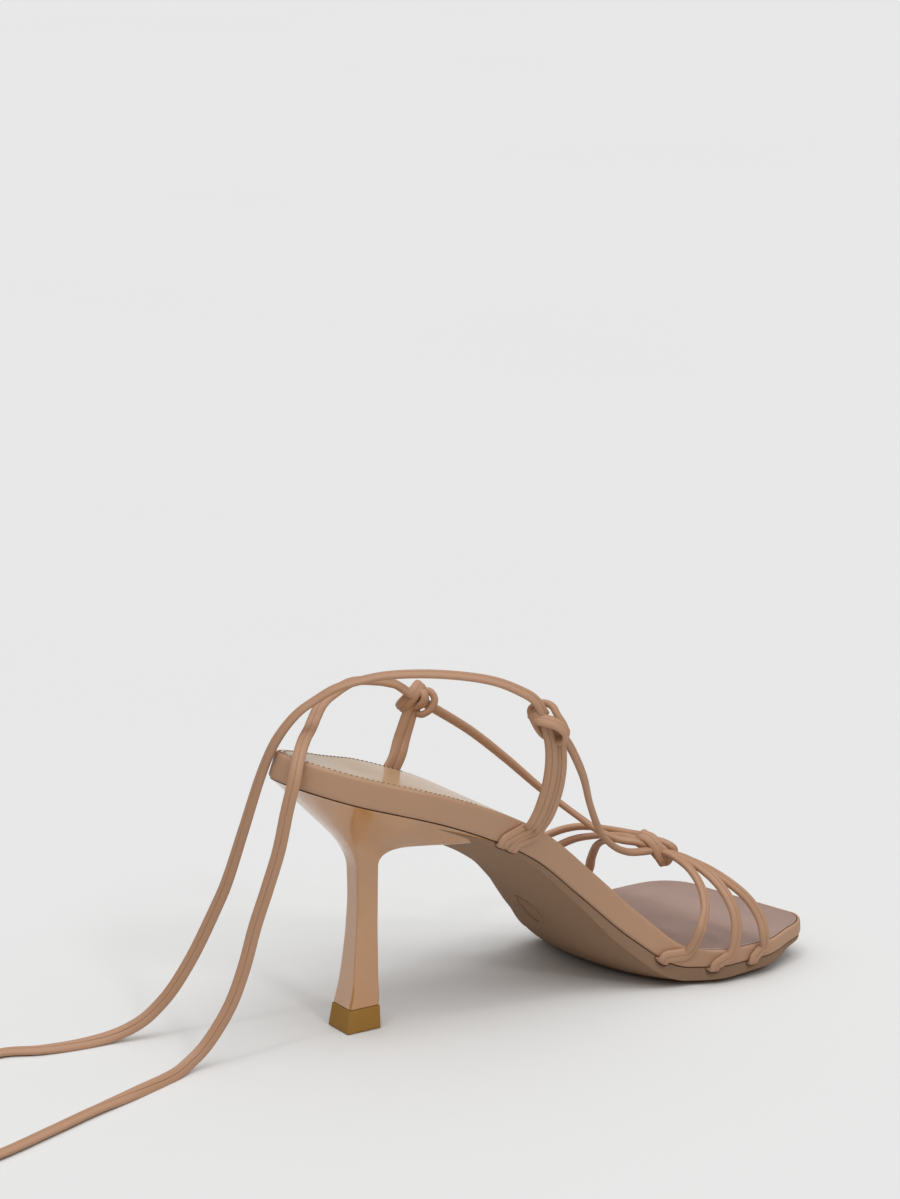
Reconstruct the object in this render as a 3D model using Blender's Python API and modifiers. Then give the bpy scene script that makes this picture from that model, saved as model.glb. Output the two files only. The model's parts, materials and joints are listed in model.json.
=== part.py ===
"""A left lace-up stiletto sandal: moulded outsole, wrapped footbed, covered heel and tubular straps.

Metres, +Z up. The origin is on the floor under the middle of the heel's top lift.
+Y points to the toe and +X to the medial side of the foot.
"""
import math

import bmesh
import bpy
import numpy as np
from mathutils import Matrix, Vector

# Sole outline and profile
SOLE_LENGTH = 0.1996
HEEL_SETBACK = 0.0262
SEAT_HEIGHT = 0.1006
BALL_HEIGHT = 0.0121
SEAT_HALF_WIDTH = 0.0268
MEDIAL_BALL_HALF = 0.0373
LATERAL_BALL_HALF = 0.0435
LATERAL_SETBACK = 0.0120
SEAT_ROUND = 0.0262
TOE_CORNER = 0.0075

# Layers of the sole
BAND_DEPTH = 0.0092
BAND_EDGE = 0.0011
SOCK_THICKNESS = 0.0009
SOCK_INSET = 0.0016
SOCK_RECESS = 0.0010
OUTSOLE_SETBACK = 0.0008
OUTSOLE_EDGE = 0.0042
OUTSOLE_LEDGE = 0.0016
KEEL_DEPTH = 0.0090
OUTSOLE_START = 0.16
OUTSOLE_TAIL_INSET = 0.0034
FLOOR = 0.0

# Heel
LIFT_SIDE = 0.0132
LIFT_TOP = 0.0120
LIFT_LEAN = 0.0008
LIFT_HEIGHT = 0.0080
LIFT_BEVEL = 0.0004
COLUMN_WIDTH = 0.0077
COLUMN_DEPTH = 0.0082
COLUMN_LEAN = 0.0042
COLUMN_TOP = 0.0560
COLUMN_EDGE = 0.0005
MEDIAL_WING_REACH = 0.0455
LATERAL_WING_REACH = 0.0230
SEAT_FILLET = 0.0060
BREAST_FILLET = 0.0068
CONE_TURN = 0.30
HEEL_BACK = 0.004
HEEL_INSET = 0.0006
# The column's sections from the lift up: "part" of its height, then shares of its lean, its width
# and its depth there
COLUMN_SECTIONS = (
    (0.00, 0.20, 1.53, 1.42),
    (0.07, 0.35, 1.47, 1.35),
    (0.18, 0.48, 1.36, 1.22),
    (0.36, 0.66, 1.20, 1.12),
    (0.58, 0.84, 1.06, 1.03),
    (0.80, 0.97, 1.00, 1.00),
    (1.00, 1.00, 1.02, 1.03),
)
# Where the seat's ring has its points along each wing, as shares of the wing's reach
WING_STOPS = (1.0, 0.98, 0.70, 0.44, 0.22, 0.09, 0.025)

# Straps
STRAP_RADIUS = 0.0016
STRAND_RADIUS = 0.0017
TIE_RADIUS = 0.0019
INSTEP_HEIGHT = 0.0412
KNOT_HEIGHT = 0.1040
STRAP_STEP = 0.0036
TUCK = 0.0030
LOOP_SPREAD = 0.93
TURN_POINTS = 18
HEART_RADIUS = 0.0045
STUB_STRAIGHT = 0.0030
TIE_STEP = 0.0088

# Coils that hold the length of the ties beyond the floor runs
COIL_MIDDLE_RADIUS = 0.0230
COIL_BAND = 0.0072
COIL_HEIGHT = 0.0084
COIL_STEPS = 24

GAP = 0.0003
# How far a cutter runs past what it cuts
CUTTER_SPARE = 0.0040
CUTTER_HEIGHT = 0.0300

# Sections of the sole from the heel's back to the toe. "place" is a share of the sole's length,
# "rise" of the height from ball to seat, "ball" how far a section belongs to the forefoot,
# "medial" and "lateral" of the half widths there, "back" of the lateral setback, "band" of the
# band's depth, "edge" of the outsole's edge and "keel" of its depth along the middle.
SECTION_COLUMNS = ("place", "rise", "ball", "medial", "lateral", "back", "band", "edge", "keel")
SECTIONS = (
    (0.000, 1.000, 0.0, 0.78, 0.72, 0.00, 0.98, 0.40, 0.25),
    (0.120, 0.902, 0.0, 0.84, 0.82, 0.00, 1.00, 0.40, 0.30),
    (0.220, 0.828, 0.0, 1.00, 1.00, -0.05, 1.00, 0.42, 0.55),
    (0.340, 0.714, 0.1, 0.94, 0.98, -0.05, 1.02, 0.46, 0.90),
    (0.460, 0.560, 0.3, 0.76, 0.84, 0.15, 1.02, 0.50, 0.94),
    (0.560, 0.359, 0.6, 0.67, 0.90, 0.34, 1.00, 0.64, 0.92),
    (0.650, 0.158, 0.8, 0.74, 0.95, 0.58, 0.94, 1.00, 1.12),
    (0.730, 0.016, 1.0, 0.86, 0.98, 0.92, 0.74, 1.15, 0.90),
    (0.800, 0.000, 1.0, 1.00, 1.00, 0.94, 0.62, 1.05, 0.74),
    (0.870, 0.000, 1.0, 1.00, 1.00, 0.88, 0.58, 0.90, 0.62),
    (0.940, 0.013, 1.0, 0.88, 0.93, 0.84, 0.55, 0.46, 0.29),
    (1.000, 0.019, 1.0, 0.74, 0.74, 0.78, 0.53, 0.26, 0.13),
)
BODY_PLACES = (0.09, 0.13, 0.175, 0.22, 0.265, 0.31, 0.355, 0.40, 0.445, 0.49, 0.535, 0.58, 0.62,
               0.66, 0.695, 0.73, 0.77, 0.81, 0.85, 0.89, 0.925)
BACK_STEPS = (0.012, 0.06, 0.15, 0.28, 0.45)
TOE_STEPS = (1.2, 0.7, 0.35, 0.12, 0.0)

# Straps over the forefoot, from the instep knot to the edge. Each has its side, the places where
# its foot meets the band's top and its bottom, and its route. A route's columns are "across", a
# share of the ball's half width on that side, "along", a share of the sole's length ahead of the
# heel, and "up", a share of the instep's height.
STRAPS = (
    ("medial", 0.722, 0.698, (
        (0.060, 0.730, 0.985), (0.241, 0.735, 0.975), (0.509, 0.735, 0.920), (0.724, 0.729, 0.816),
        (0.871, 0.716, 0.684), (0.938, 0.700, 0.580), (0.952, 0.690, 0.490))),
    ("medial", 0.792, 0.766, (
        (0.080, 0.732, 0.985), (0.375, 0.751, 0.959), (0.643, 0.764, 0.876), (0.831, 0.773, 0.755),
        (0.960, 0.776, 0.604), (1.022, 0.771, 0.440))),
    ("medial", 0.862, 0.840, (
        (0.100, 0.734, 0.980), (0.469, 0.762, 0.934), (0.724, 0.791, 0.830), (0.898, 0.818, 0.689),
        (1.005, 0.834, 0.524), (1.062, 0.836, 0.380))),
    ("lateral", 0.615, 0.600, (
        (0.040, 0.736, 1.000), (0.230, 0.737, 1.034), (0.391, 0.735, 1.020), (0.644, 0.713, 1.010),
        (0.782, 0.682, 1.015), (0.874, 0.650, 0.990), (0.925, 0.610, 0.940), (0.930, 0.560, 0.890))),
    ("lateral", 0.650, 0.635, (
        (0.040, 0.722, 1.010), (0.276, 0.717, 1.022), (0.529, 0.706, 0.985), (0.713, 0.693, 0.937),
        (0.851, 0.671, 0.888), (0.925, 0.640, 0.820), (0.950, 0.600, 0.740))),
    ("lateral", 0.800, 0.790, (
        (0.040, 0.712, 0.995), (0.230, 0.709, 1.015), (0.506, 0.707, 0.950), (0.736, 0.712, 0.842),
        (0.885, 0.721, 0.670), (0.965, 0.727, 0.520))),
)

# Knots: "across", "along" and "up" as above, with "up" a share of the height named beside it
INSTEP_KNOT = (0.01, 0.727, 0.990)
MEDIAL_KNOT = (0.871, 0.338, 1.015)
LATERAL_KNOT = (0.713, 0.268, 0.975)

# Turns of strap round each knot: the knot, the turn's middle off the knot's, the way it faces,
# its wide and narrow radii, its spin in radians and the strap's radius there
KNOT_TURNS = (
    ("instep", (-0.0008, -0.0026, 0.0002), (0.5, 0.8, -0.1), 0.0050, 0.0038, 0.0, 0.0019),
    ("instep", (0.0006, 0.0018, -0.0006), (0.1, 1.0, -0.4), 0.0046, 0.0036, 0.5, 0.0019),
    ("instep", (0.0012, -0.0006, 0.0012), (0.8, 0.3, 0.5), 0.0050, 0.0030, 0.3, 0.0017),
    ("medial", (0.0, -0.0012, 0.0012), (0.1, 0.3, 1.0), 0.0052, 0.0040, 0.0, 0.0019),
    ("medial", (0.0, 0.0010, -0.0022), (0.3, -0.4, 0.9), 0.0048, 0.0038, 0.6, 0.0019),
    ("medial", (0.0004, 0.0, 0.0002), (1.0, 0.3, 0.2), 0.0054, 0.0038, 0.4, 0.0017),
    ("lateral", (0.0, -0.0022, 0.0010), (0.0, 0.5, 0.9), 0.0046, 0.0036, 0.0, 0.0018),
    ("lateral", (0.0, -0.0002, -0.0014), (0.2, -0.2, 1.0), 0.0044, 0.0035, 0.6, 0.0018),
    ("lateral", (0.0, 0.0032, 0.0002), (1.0, 0.2, 0.1), 0.0038, 0.0030, 0.2, 0.0016),
)

# The side loops climb from the edge to their knots: "out" is a share of the seat's half width,
# "along" of the sole's length ahead of the heel and "up" of the knots' height.
MEDIAL_LOOP = (
    (1.040, 0.330, 0.665), (1.101, 0.342, 0.718), (1.175, 0.351, 0.798), (1.224, 0.353, 0.878),
    (1.231, 0.350, 0.946), (1.213, 0.341, 1.010))
LATERAL_LOOP = (
    (1.095, 0.208, 0.795), (1.155, 0.227, 0.843), (1.175, 0.239, 0.885), (1.185, 0.252, 0.932),
    (1.160, 0.266, 0.975))
MEDIAL_LOOP_FOOT = (0.418, 0.386)
LATERAL_LOOP_FOOT = (0.285, 0.270)

# Laces from the side knots down to the instep knot, as shares of the way across, along and up
# between the two knots
MEDIAL_LACE = (
    (0.06, 0.11, 0.110), (0.10, 0.18, 0.210), (0.16, 0.26, 0.360), (0.28, 0.34, 0.540),
    (0.46, 0.46, 0.730), (0.64, 0.60, 0.860), (0.80, 0.75, 0.945), (0.94, 0.92, 0.990))
LATERAL_LACE = (
    (0.00, 0.080, 0.070), (0.07, 0.250, 0.230), (0.20, 0.400, 0.410), (0.36, 0.540, 0.600),
    (0.49, 0.610, 0.690), (0.65, 0.690, 0.790), (0.75, 0.745, 0.855), (0.85, 0.830, 0.920),
    (0.94, 0.920, 0.950))

# Free ties, each from its knot over the seat to the floor behind the heel, as points in metres
MEDIAL_TIE = (
    (0.0318, 0.0540, 0.1133), (0.0300, 0.0503, 0.1164), (0.0260, 0.0430, 0.1202),
    (0.0220, 0.0341, 0.1226), (0.0170, 0.0223, 0.1243), (0.0120, 0.0105, 0.1247),
    (0.0080, 0.0025, 0.1236), (0.0040, -0.0070, 0.1211), (0.0010, -0.0139, 0.1170),
    (-0.0010, -0.0190, 0.1133), (-0.0030, -0.0237, 0.1077), (-0.0050, -0.0273, 0.1009),
    (-0.0080, -0.0305, 0.0900), (-0.0118, -0.0348, 0.0725), (-0.0160, -0.0390, 0.0549),
    (-0.0187, -0.0424, 0.0448), (-0.0225, -0.0486, 0.0299), (-0.0255, -0.0550, 0.0186),
    (-0.0280, -0.0603, 0.0117), (-0.0300, -0.0663, 0.0067), (-0.0325, -0.0750, 0.0031),
    (-0.0338, -0.0870, 0.0021), (-0.0365, -0.1005, 0.0021), (-0.0416, -0.1130, 0.0021),
)
LATERAL_TIE = (
    (-0.0307, 0.0378, 0.1078), (-0.0304, 0.0344, 0.1092), (-0.0290, 0.0279, 0.1111),
    (-0.0250, 0.0163, 0.1134), (-0.0195, 0.0046, 0.1117), (-0.0160, -0.0014, 0.1100),
    (-0.0110, -0.0075, 0.1080), (-0.0045, -0.0140, 0.1062), (0.0020, -0.0204, 0.1048),
    (0.0090, -0.0268, 0.1019), (0.0122, -0.0308, 0.0954), (0.0126, -0.0342, 0.0848),
    (0.0120, -0.0367, 0.0721), (0.0112, -0.0390, 0.0592), (0.0095, -0.0430, 0.0464),
    (0.0085, -0.0472, 0.0321), (0.0075, -0.0523, 0.0201), (0.0062, -0.0600, 0.0092),
    (0.0068, -0.0678, 0.0038), (0.0106, -0.0766, 0.0022), (0.0170, -0.0940, 0.0021),
    (0.0228, -0.1110, 0.0021), (0.0300, -0.1290, 0.0021), (0.0384, -0.1510, 0.0021),
)
# How far each tie runs on past its last point before its coil, and which way
RUN_OUT = 0.0120
RUN_OUT_WAY = (-0.537, -0.843, 0.0)

COLOURS = {
    "outsole": (0.30, 0.19, 0.12, 0.55, "Moulded rubber, tan brown"),
    "footbed": (0.48, 0.28, 0.17, 0.14, "Patent wrap, nude"),
    "insole_sock": (0.50, 0.36, 0.28, 0.30, "Sock lining, pale beige"),
    "heel": (0.46, 0.26, 0.15, 0.14, "Patent heel cover, nude"),
    "heel_top_lift": (0.36, 0.18, 0.03, 0.45, "Top lift, ochre"),
    "upper": (0.48, 0.27, 0.16, 0.14, "Patent strap, nude"),
    "tie": (0.48, 0.27, 0.16, 0.14, "Patent tie, nude"),
}


def smooth(places, values, place):
    """Cubic through the values that never overshoots them."""
    widths = np.diff(places)
    rates = np.diff(values) / widths
    slopes = np.zeros(len(places))
    for k in range(1, len(places) - 1):
        if rates[k - 1] * rates[k] > 0:
            left, right = widths[k - 1], widths[k]
            weights = (2 * right + left, right + 2 * left)
            slopes[k] = sum(weights) / (weights[0] / rates[k - 1] + weights[1] / rates[k])
    slopes[0], slopes[-1] = rates[0], rates[-1]
    k = int(np.clip(np.searchsorted(places, place) - 1, 0, len(places) - 2))
    h = widths[k]
    t = (place - places[k]) / h
    return ((1 + 2 * t) * (1 - t) ** 2 * values[k] + t * (1 - t) ** 2 * h * slopes[k]
            + t * t * (3 - 2 * t) * values[k + 1] + t * t * (t - 1) * h * slopes[k + 1])


TABLE = {name: np.array([row[i] for row in SECTIONS]) for i, name in enumerate(SECTION_COLUMNS)}


def share(name, place):
    """One column of the sole's sections at any place."""
    return float(smooth(TABLE["place"], TABLE[name], place))


def along(place):
    """The level distance of a place from the heel's middle."""
    return place * SOLE_LENGTH - HEEL_SETBACK


def top_height(place):
    """The height of the footbed's top."""
    return BALL_HEIGHT + share("rise", place) * (SEAT_HEIGHT - BALL_HEIGHT)


def up_from(place):
    """The direction square to the footbed's top, in the plane along the foot."""
    step = 0.002
    low, high = max(place - step, 0.0), min(place + step, 1.0)
    run = (high - low) * SOLE_LENGTH
    climb = top_height(high) - top_height(low)
    return Vector((0.0, -climb, run)).normalized()


def half_width(side, place, inset):
    """Half the width on one side, rounded round the seat and at the toe's corners."""
    ball = MEDIAL_BALL_HALF if side == "medial" else LATERAL_BALL_HALF
    forward = share("ball", place)
    width = ((1 - forward) * SEAT_HALF_WIDTH + forward * ball) * share(side, place) - inset
    from_back = place * SOLE_LENGTH
    if from_back < SEAT_ROUND:
        reach = (SEAT_ROUND - from_back) / (SEAT_ROUND - inset)
        width *= math.sqrt(max(1 - reach * reach, 0.0))
    corner = TOE_CORNER - inset
    from_toe = (1 - place) * SOLE_LENGTH - inset
    if from_toe < corner:
        width -= corner - math.sqrt(max(corner ** 2 - (corner - from_toe) ** 2, 0.0))
    return width


def sole_point(place, across, inset, depth):
    """A point of the sole. across runs from -1, lateral, to 1, medial."""
    y, z = along(place), top_height(place)
    medial = Vector((half_width("medial", place, inset), y, z))
    lateral = Vector((-half_width("lateral", place, inset), y - share("back", place) * LATERAL_SETBACK, z))
    point = lateral.lerp(medial, (across + 1) / 2)
    return point - up_from(place) * depth


def band(place):
    """The depth of the wrapped band."""
    return BAND_DEPTH * share("band", place)


def places_between(start, end, inset):
    """Places of the sections from one end to the other, closer where the outline turns."""
    back = [(inset + (SEAT_ROUND - inset) * step) / SOLE_LENGTH for step in BACK_STEPS]
    toe = [1 - (inset + (TOE_CORNER - inset) * step) / SOLE_LENGTH for step in TOE_STEPS]
    return [p for p in back + list(BODY_PLACES) + toe if start <= p <= end]


def loft(name, rings):
    """A closed solid through rings of equal count, with its ends filled."""
    mesh = bpy.data.meshes.new(name)
    build = bmesh.new()
    rows = [[build.verts.new(point) for point in ring] for ring in rings]
    count = len(rows[0])
    for low, high in zip(rows, rows[1:]):
        for k in range(count):
            build.faces.new((low[k], low[(k + 1) % count], high[(k + 1) % count], high[k]))
    build.faces.new(list(reversed(rows[0])))
    build.faces.new(rows[-1])
    bmesh.ops.remove_doubles(build, verts=build.verts, dist=0.00001)
    bmesh.ops.triangulate(build, faces=build.faces)
    bmesh.ops.recalc_face_normals(build, faces=build.faces)
    build.to_mesh(mesh)
    build.free()
    return bpy.data.objects.new(name, mesh)


def ways_across(count):
    """Even steps from -1 to 1."""
    return [2 * k / (count - 1) - 1 for k in range(count)]


def slab(name, places, inset, top, bottom, columns):
    """A layer of the sole between two depths, each a function of place and across."""
    rings = []
    for place in places:
        ways = ways_across(columns)
        over = [sole_point(place, way, inset, top(place, way)) for way in ways]
        under = [sole_point(place, way, inset, bottom(place, way)) for way in reversed(ways)]
        rings.append(over + under)
    return loft(name, rings)


def make_footbed():
    """The insole board with its patent wrap: a band with rounded edges."""
    rings = []
    edge = BAND_EDGE
    corner = 0.3 * edge
    for place in places_between(0.0, 1.0, 0.0):
        depth = band(place)
        medial = [(1, edge, 0.0), (1, corner, corner), (1, 0.0, edge), (1, 0.0, depth - edge),
                  (1, corner, depth - corner), (1, edge, depth)]
        lateral = [(-1, inset, down) for _, inset, down in reversed(medial)]
        over = [(way, edge, 0.0) for way in (-0.5, 0.0, 0.5)]
        under = [(way, edge, depth) for way in (0.5, 0.0, -0.5)]
        section = over + medial + under + lateral
        rings.append([sole_point(place, way, inset, down) for way, inset, down in section])
    return loft("footbed", rings)


def make_sock_recess():
    """The shallow recess that the sock lining lies in."""
    inset = SOCK_INSET - GAP
    return slab("sock_recess", places_between(0.0, 1.0, inset), inset, lambda place, way: -CUTTER_SPARE,
                lambda place, way: SOCK_RECESS, 5)


def make_sock():
    """The sock lining, level with the rim round it."""
    bottom = SOCK_RECESS - GAP
    return slab("insole_sock", places_between(0.0, 1.0, SOCK_INSET), SOCK_INSET,
                lambda place, way: bottom - SOCK_THICKNESS, lambda place, way: bottom, 5)


def outsole_depth(place, way):
    """How far the outsole's underside lies below the footbed's underside."""
    edge = OUTSOLE_EDGE * share("edge", place)
    keel = KEEL_DEPTH * share("keel", place)
    dome = 1 - abs(way) ** 2.4
    return edge + max(keel - edge, 0.0) * dome


def outsole_inset(place):
    """The outsole stands back from the band, and narrows to its tail under the seat."""
    tail = min(max((0.36 - place) / (0.36 - OUTSOLE_START), 0.0), 1.0)
    return OUTSOLE_SETBACK + OUTSOLE_TAIL_INSET * tail


def outsole_ring(place, grow):
    """One section of the outsole, made larger all round by grow."""
    inset = outsole_inset(place) - grow
    start = band(place) + GAP - grow
    edge = OUTSOLE_EDGE * share("edge", place)
    ways = ways_across(9)
    over = [(way, inset, start) for way in ways]
    side = [(1, inset, band(place) + GAP + edge + grow)]
    inner = [(way, inset + OUTSOLE_LEDGE, band(place) + GAP + outsole_depth(place, way) + grow)
             for way in reversed(ways)]
    far_side = [(-1, inset, band(place) + GAP + edge + grow)]
    points = [sole_point(place, way, e, down) for way, e, down in over + side + inner + far_side]
    for point in points:
        point.z = max(point.z, FLOOR - grow)
    return points


def make_outsole(name="outsole", grow=0.0):
    """The moulded outsole: a thin edge round a domed waist that lands flat under the ball."""
    tail = OUTSOLE_START - grow / SOLE_LENGTH
    places = [tail] + places_between(OUTSOLE_START + 0.01, 1.0, OUTSOLE_SETBACK)
    return loft(name, [outsole_ring(place, grow) for place in places])


def square_ring(middle_y, half_x, half_y, height, edge):
    """A square with cut corners at a height, in the order that the seat's ring follows."""
    x, y = half_x, half_y
    corners = ((0, y), (x - edge, y), (x, y - edge), (x, y / 3), (x, -y / 3), (x, edge - y),
               (x - edge, -y), (x / 3, -y), (0, -y), (-x / 3, -y), (edge - x, -y), (-x, edge - y),
               (-x, -y / 3), (-x, y / 3), (-x, y - edge), (edge - x, y))
    return [Vector((cx, middle_y + cy, height)) for cx, cy in corners]


def seat_ring():
    """The heel's outline against the footbed, from the middle of its breast round the back."""
    medial = (MEDIAL_WING_REACH + HEEL_SETBACK) / SOLE_LENGTH
    lateral = (LATERAL_WING_REACH + HEEL_SETBACK) / SOLE_LENGTH
    breast = (medial + lateral) / 2
    points = [sole_point(breast, 0.0, HEEL_INSET, band(breast))]
    for stop in WING_STOPS:
        place = medial * stop
        points.append(sole_point(place, 1, HEEL_INSET, band(place)))
    points.append(sole_point(HEEL_BACK, 0, HEEL_INSET, band(HEEL_BACK)))
    for stop in WING_STOPS[::-1]:
        place = lateral * stop
        points.append(sole_point(place, -1, HEEL_INSET, band(place)))
    return points


def make_heel():
    """A square column that spreads in a cone to the seat, with wings along its sides."""
    base = LIFT_HEIGHT + GAP
    rings = []
    for part, lean, width, depth in COLUMN_SECTIONS:
        height = base + part * (COLUMN_TOP - base)
        half_x, half_y = COLUMN_WIDTH / 2 * width, COLUMN_DEPTH / 2 * depth
        rings.append(square_ring(COLUMN_LEAN * lean, half_x, half_y, height, COLUMN_EDGE))
    seat = seat_ring()
    top = rings[-1]
    count = len(top)
    for step in (0.25, 0.5, 0.75, 1.0):
        ring = []
        for k in range(count):
            front = 1 - min(k, count - k) / (count / 2)
            fillet = SEAT_FILLET + (BREAST_FILLET - SEAT_FILLET) * front
            bend = top[k] + Vector((0, 0, fillet))
            reach = bend.lerp(seat[k], CONE_TURN)
            ring.append(top[k] * (1 - step) ** 2 + bend * 2 * step * (1 - step) + reach * step ** 2)
        rings.append(ring)
    last = rings[-1]
    for step in (0.5, 1.0):
        rings.append([low.lerp(high, step) for low, high in zip(last, seat)])
    rings.append([point + Vector((0, 0, CUTTER_SPARE)) for point in seat])
    return loft("heel", rings)


def make_sole_cutter():
    """The footbed's underside with its clearance, and the room above it."""
    places = places_between(0.0, 1.0, 0.0)
    rings = []
    for place in places:
        low = [sole_point(place, way, -CUTTER_SPARE, band(place) + GAP) for way in ways_across(5)]
        high = [point + Vector((0, 0, CUTTER_HEIGHT)) for point in low]
        rings.append(list(reversed(high)) + low)
    behind = Vector((0, -CUTTER_SPARE, 0))
    rings.insert(0, [point + behind for point in rings[0]])
    return loft("sole_cutter", rings)


def make_lift():
    """The square rubber top lift, a little wider on the floor than against the heel."""
    bpy.ops.mesh.primitive_cube_add(size=1.0, location=(0, 0, 0))
    lift = bpy.context.object
    lift.name = "heel_top_lift"
    for vertex in lift.data.vertices:
        x, y, z = vertex.co
        side, lean = (LIFT_SIDE, 0.0) if z < 0 else (LIFT_TOP, LIFT_LEAN)
        vertex.co = (x * side, y * side + lean, (z + 0.5) * LIFT_HEIGHT)
    soften = lift.modifiers.new("Soft edges", "BEVEL")
    soften.width = LIFT_BEVEL
    soften.segments = 1
    return lift


def curve_through(points, spacing):
    """Even points along a smooth curve through a route's own points."""
    points = [Vector(point) for point in points]
    ends = [points[0] * 2 - points[1]] + points + [points[-1] * 2 - points[-2]]
    fine = []
    for k in range(1, len(ends) - 2):
        before, here, there, after = ends[k - 1:k + 3]
        for step in range(12):
            t = step / 12
            pull = (there - before) * t
            bend = (2 * before - 5 * here + 4 * there - after) * t ** 2
            ease = (3 * here - before - 3 * there + after) * t ** 3
            fine.append(here + (pull + bend + ease) / 2)
    fine.append(points[-1])
    lengths = np.cumsum([0.0] + [(b - a).length for a, b in zip(fine, fine[1:])])
    count = max(int(lengths[-1] / spacing) + 1, 3)
    places = np.linspace(0, lengths[-1], count)
    columns = [np.interp(places, lengths, [point[i] for point in fine]) for i in range(3)]
    return [Vector(row) for row in zip(*columns)]


def tube(name, points, radius, closed=False):
    """A round tube along points, with filled ends unless it closes on itself."""
    data = bpy.data.curves.new(name + "_route", "CURVE")
    data.dimensions = "3D"
    data.bevel_depth = radius
    data.bevel_resolution = 2
    data.use_fill_caps = not closed
    spline = data.splines.new("POLY")
    spline.points.add(len(points) - 1)
    for slot, point in zip(spline.points, points):
        slot.co = (*point, 1.0)
    spline.use_cyclic_u = closed
    return bpy.data.objects.new(name + "_route", data)


def as_mesh(thing):
    """The curve's evaluated tube as a mesh object, with its caps welded."""
    bpy.context.scene.collection.objects.link(thing)
    graph = bpy.context.evaluated_depsgraph_get()
    mesh = bpy.data.meshes.new_from_object(thing.evaluated_get(graph))
    weld = bmesh.new()
    weld.from_mesh(mesh)
    bmesh.ops.remove_doubles(weld, verts=weld.verts, dist=0.00001)
    bmesh.ops.recalc_face_normals(weld, faces=weld.faces)
    weld.to_mesh(mesh)
    weld.free()
    solid = bpy.data.objects.new(thing.name.replace("_route", ""), mesh)
    solid.matrix_world = thing.matrix_world
    bpy.data.objects.remove(thing)
    return solid


def instep_point(row):
    """A point over the forefoot from its shares."""
    across, forward, up = row
    ball = MEDIAL_BALL_HALF if across >= 0 else LATERAL_BALL_HALF
    return Vector((across * ball, forward * (SOLE_LENGTH - HEEL_SETBACK), up * INSTEP_HEIGHT))


def side_sign(side):
    """+1 on the medial side and -1 on the lateral side."""
    return 1 if side == "medial" else -1


def strap_point(side, row):
    """A point of a forefoot strap on its own side."""
    across, forward, up = row
    return instep_point((across * side_sign(side), forward, up))


def knot_point(side, row):
    """The middle of a side knot."""
    across, forward, up = row
    ball = MEDIAL_BALL_HALF if side == "medial" else LATERAL_BALL_HALF
    return Vector((side_sign(side) * across * ball, forward * (SOLE_LENGTH - HEEL_SETBACK), up * KNOT_HEIGHT))


def loop_point(side, row, apart):
    """A point of a side loop's strand, apart from the loop's middle along the foot."""
    out, forward, up = row
    y = forward * (SOLE_LENGTH - HEEL_SETBACK) + apart
    return Vector((side_sign(side) * out * SEAT_HALF_WIDTH, y, up * KNOT_HEIGHT))


def foot(side, high, low, radius, shift=0.0):
    """The end of a strap: aslant down the band's side and tucked in under it."""
    high += shift / SOLE_LENGTH
    low += shift / SOLE_LENGTH
    way = side_sign(side)
    off = GAP + radius
    middle = (high + low) / 2
    depth = band(low)
    return [sole_point(high, way, -off, 0.15 * depth), sole_point(middle, way, -off, 0.5 * depth),
            sole_point(low, way, -off, 0.85 * depth), sole_point(low, way, -0.7 * off, depth + 0.70 * off),
            sole_point(low, way, 0.1 * off, depth + off), sole_point(low, way, TUCK, depth + off)]


def turn(name, middle, axis, wide, narrow, spin, radius):
    """One closed turn of strap round a knot, an oval square to its axis."""
    axis = Vector(axis).normalized()
    first = axis.orthogonal().normalized()
    second = axis.cross(first)
    points = []
    for k in range(TURN_POINTS):
        angle = 2 * math.pi * k / TURN_POINTS
        flat = Vector((wide * math.cos(angle), narrow * math.sin(angle)))
        flat.rotate(Matrix.Rotation(spin, 2))
        points.append(middle + first * flat.x + second * flat.y)
    return tube(name, points, radius, closed=True)


def strap_tubes(grow=0.0):
    """Every tube of the upper. grow fattens them into cutters."""
    tubes = []
    for side, high, low, rows in STRAPS:
        route = [strap_point(side, row) for row in rows] + foot(side, high, low, STRAP_RADIUS)
        points = curve_through(route, STRAP_STEP)
        tubes.append(tube(f"{side}_strap_{len(tubes)}", points, STRAP_RADIUS + grow))
    loops = (("medial", MEDIAL_LOOP_FOOT, MEDIAL_LOOP), ("lateral", LATERAL_LOOP_FOOT, LATERAL_LOOP))
    for side, ends, rows in loops:
        for shift in (-1, 1):
            apart = shift * STRAND_RADIUS * LOOP_SPREAD
            climb = [loop_point(side, row, apart) for row in rows[::-1]]
            points = curve_through(climb + foot(side, *ends, STRAND_RADIUS, apart), STRAP_STEP)
            tubes.append(tube(f"{side}_loop_{len(tubes)}", points, STRAND_RADIUS + grow))
    return tubes


def lace_tubes():
    """The laces between the side knots and the instep knot."""
    instep = instep_point(INSTEP_KNOT)
    tubes = []
    for side, knot, rows in (("medial", MEDIAL_KNOT, MEDIAL_LACE), ("lateral", LATERAL_KNOT, LATERAL_LACE)):
        start = knot_point(side, knot)
        gone = instep - start
        middle = [start + Vector((gone.x * a, gone.y * b, gone.z * c)) for a, b, c in rows]
        points = curve_through([start] + middle + [instep], STRAP_STEP)
        tubes.append(tube(f"{side}_lace", points, STRAP_RADIUS))
    return tubes


def knot_middles():
    """The middles of the three knots."""
    return {
        "instep": instep_point(INSTEP_KNOT),
        "medial": knot_point("medial", MEDIAL_KNOT),
        "lateral": knot_point("lateral", LATERAL_KNOT),
    }


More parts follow.
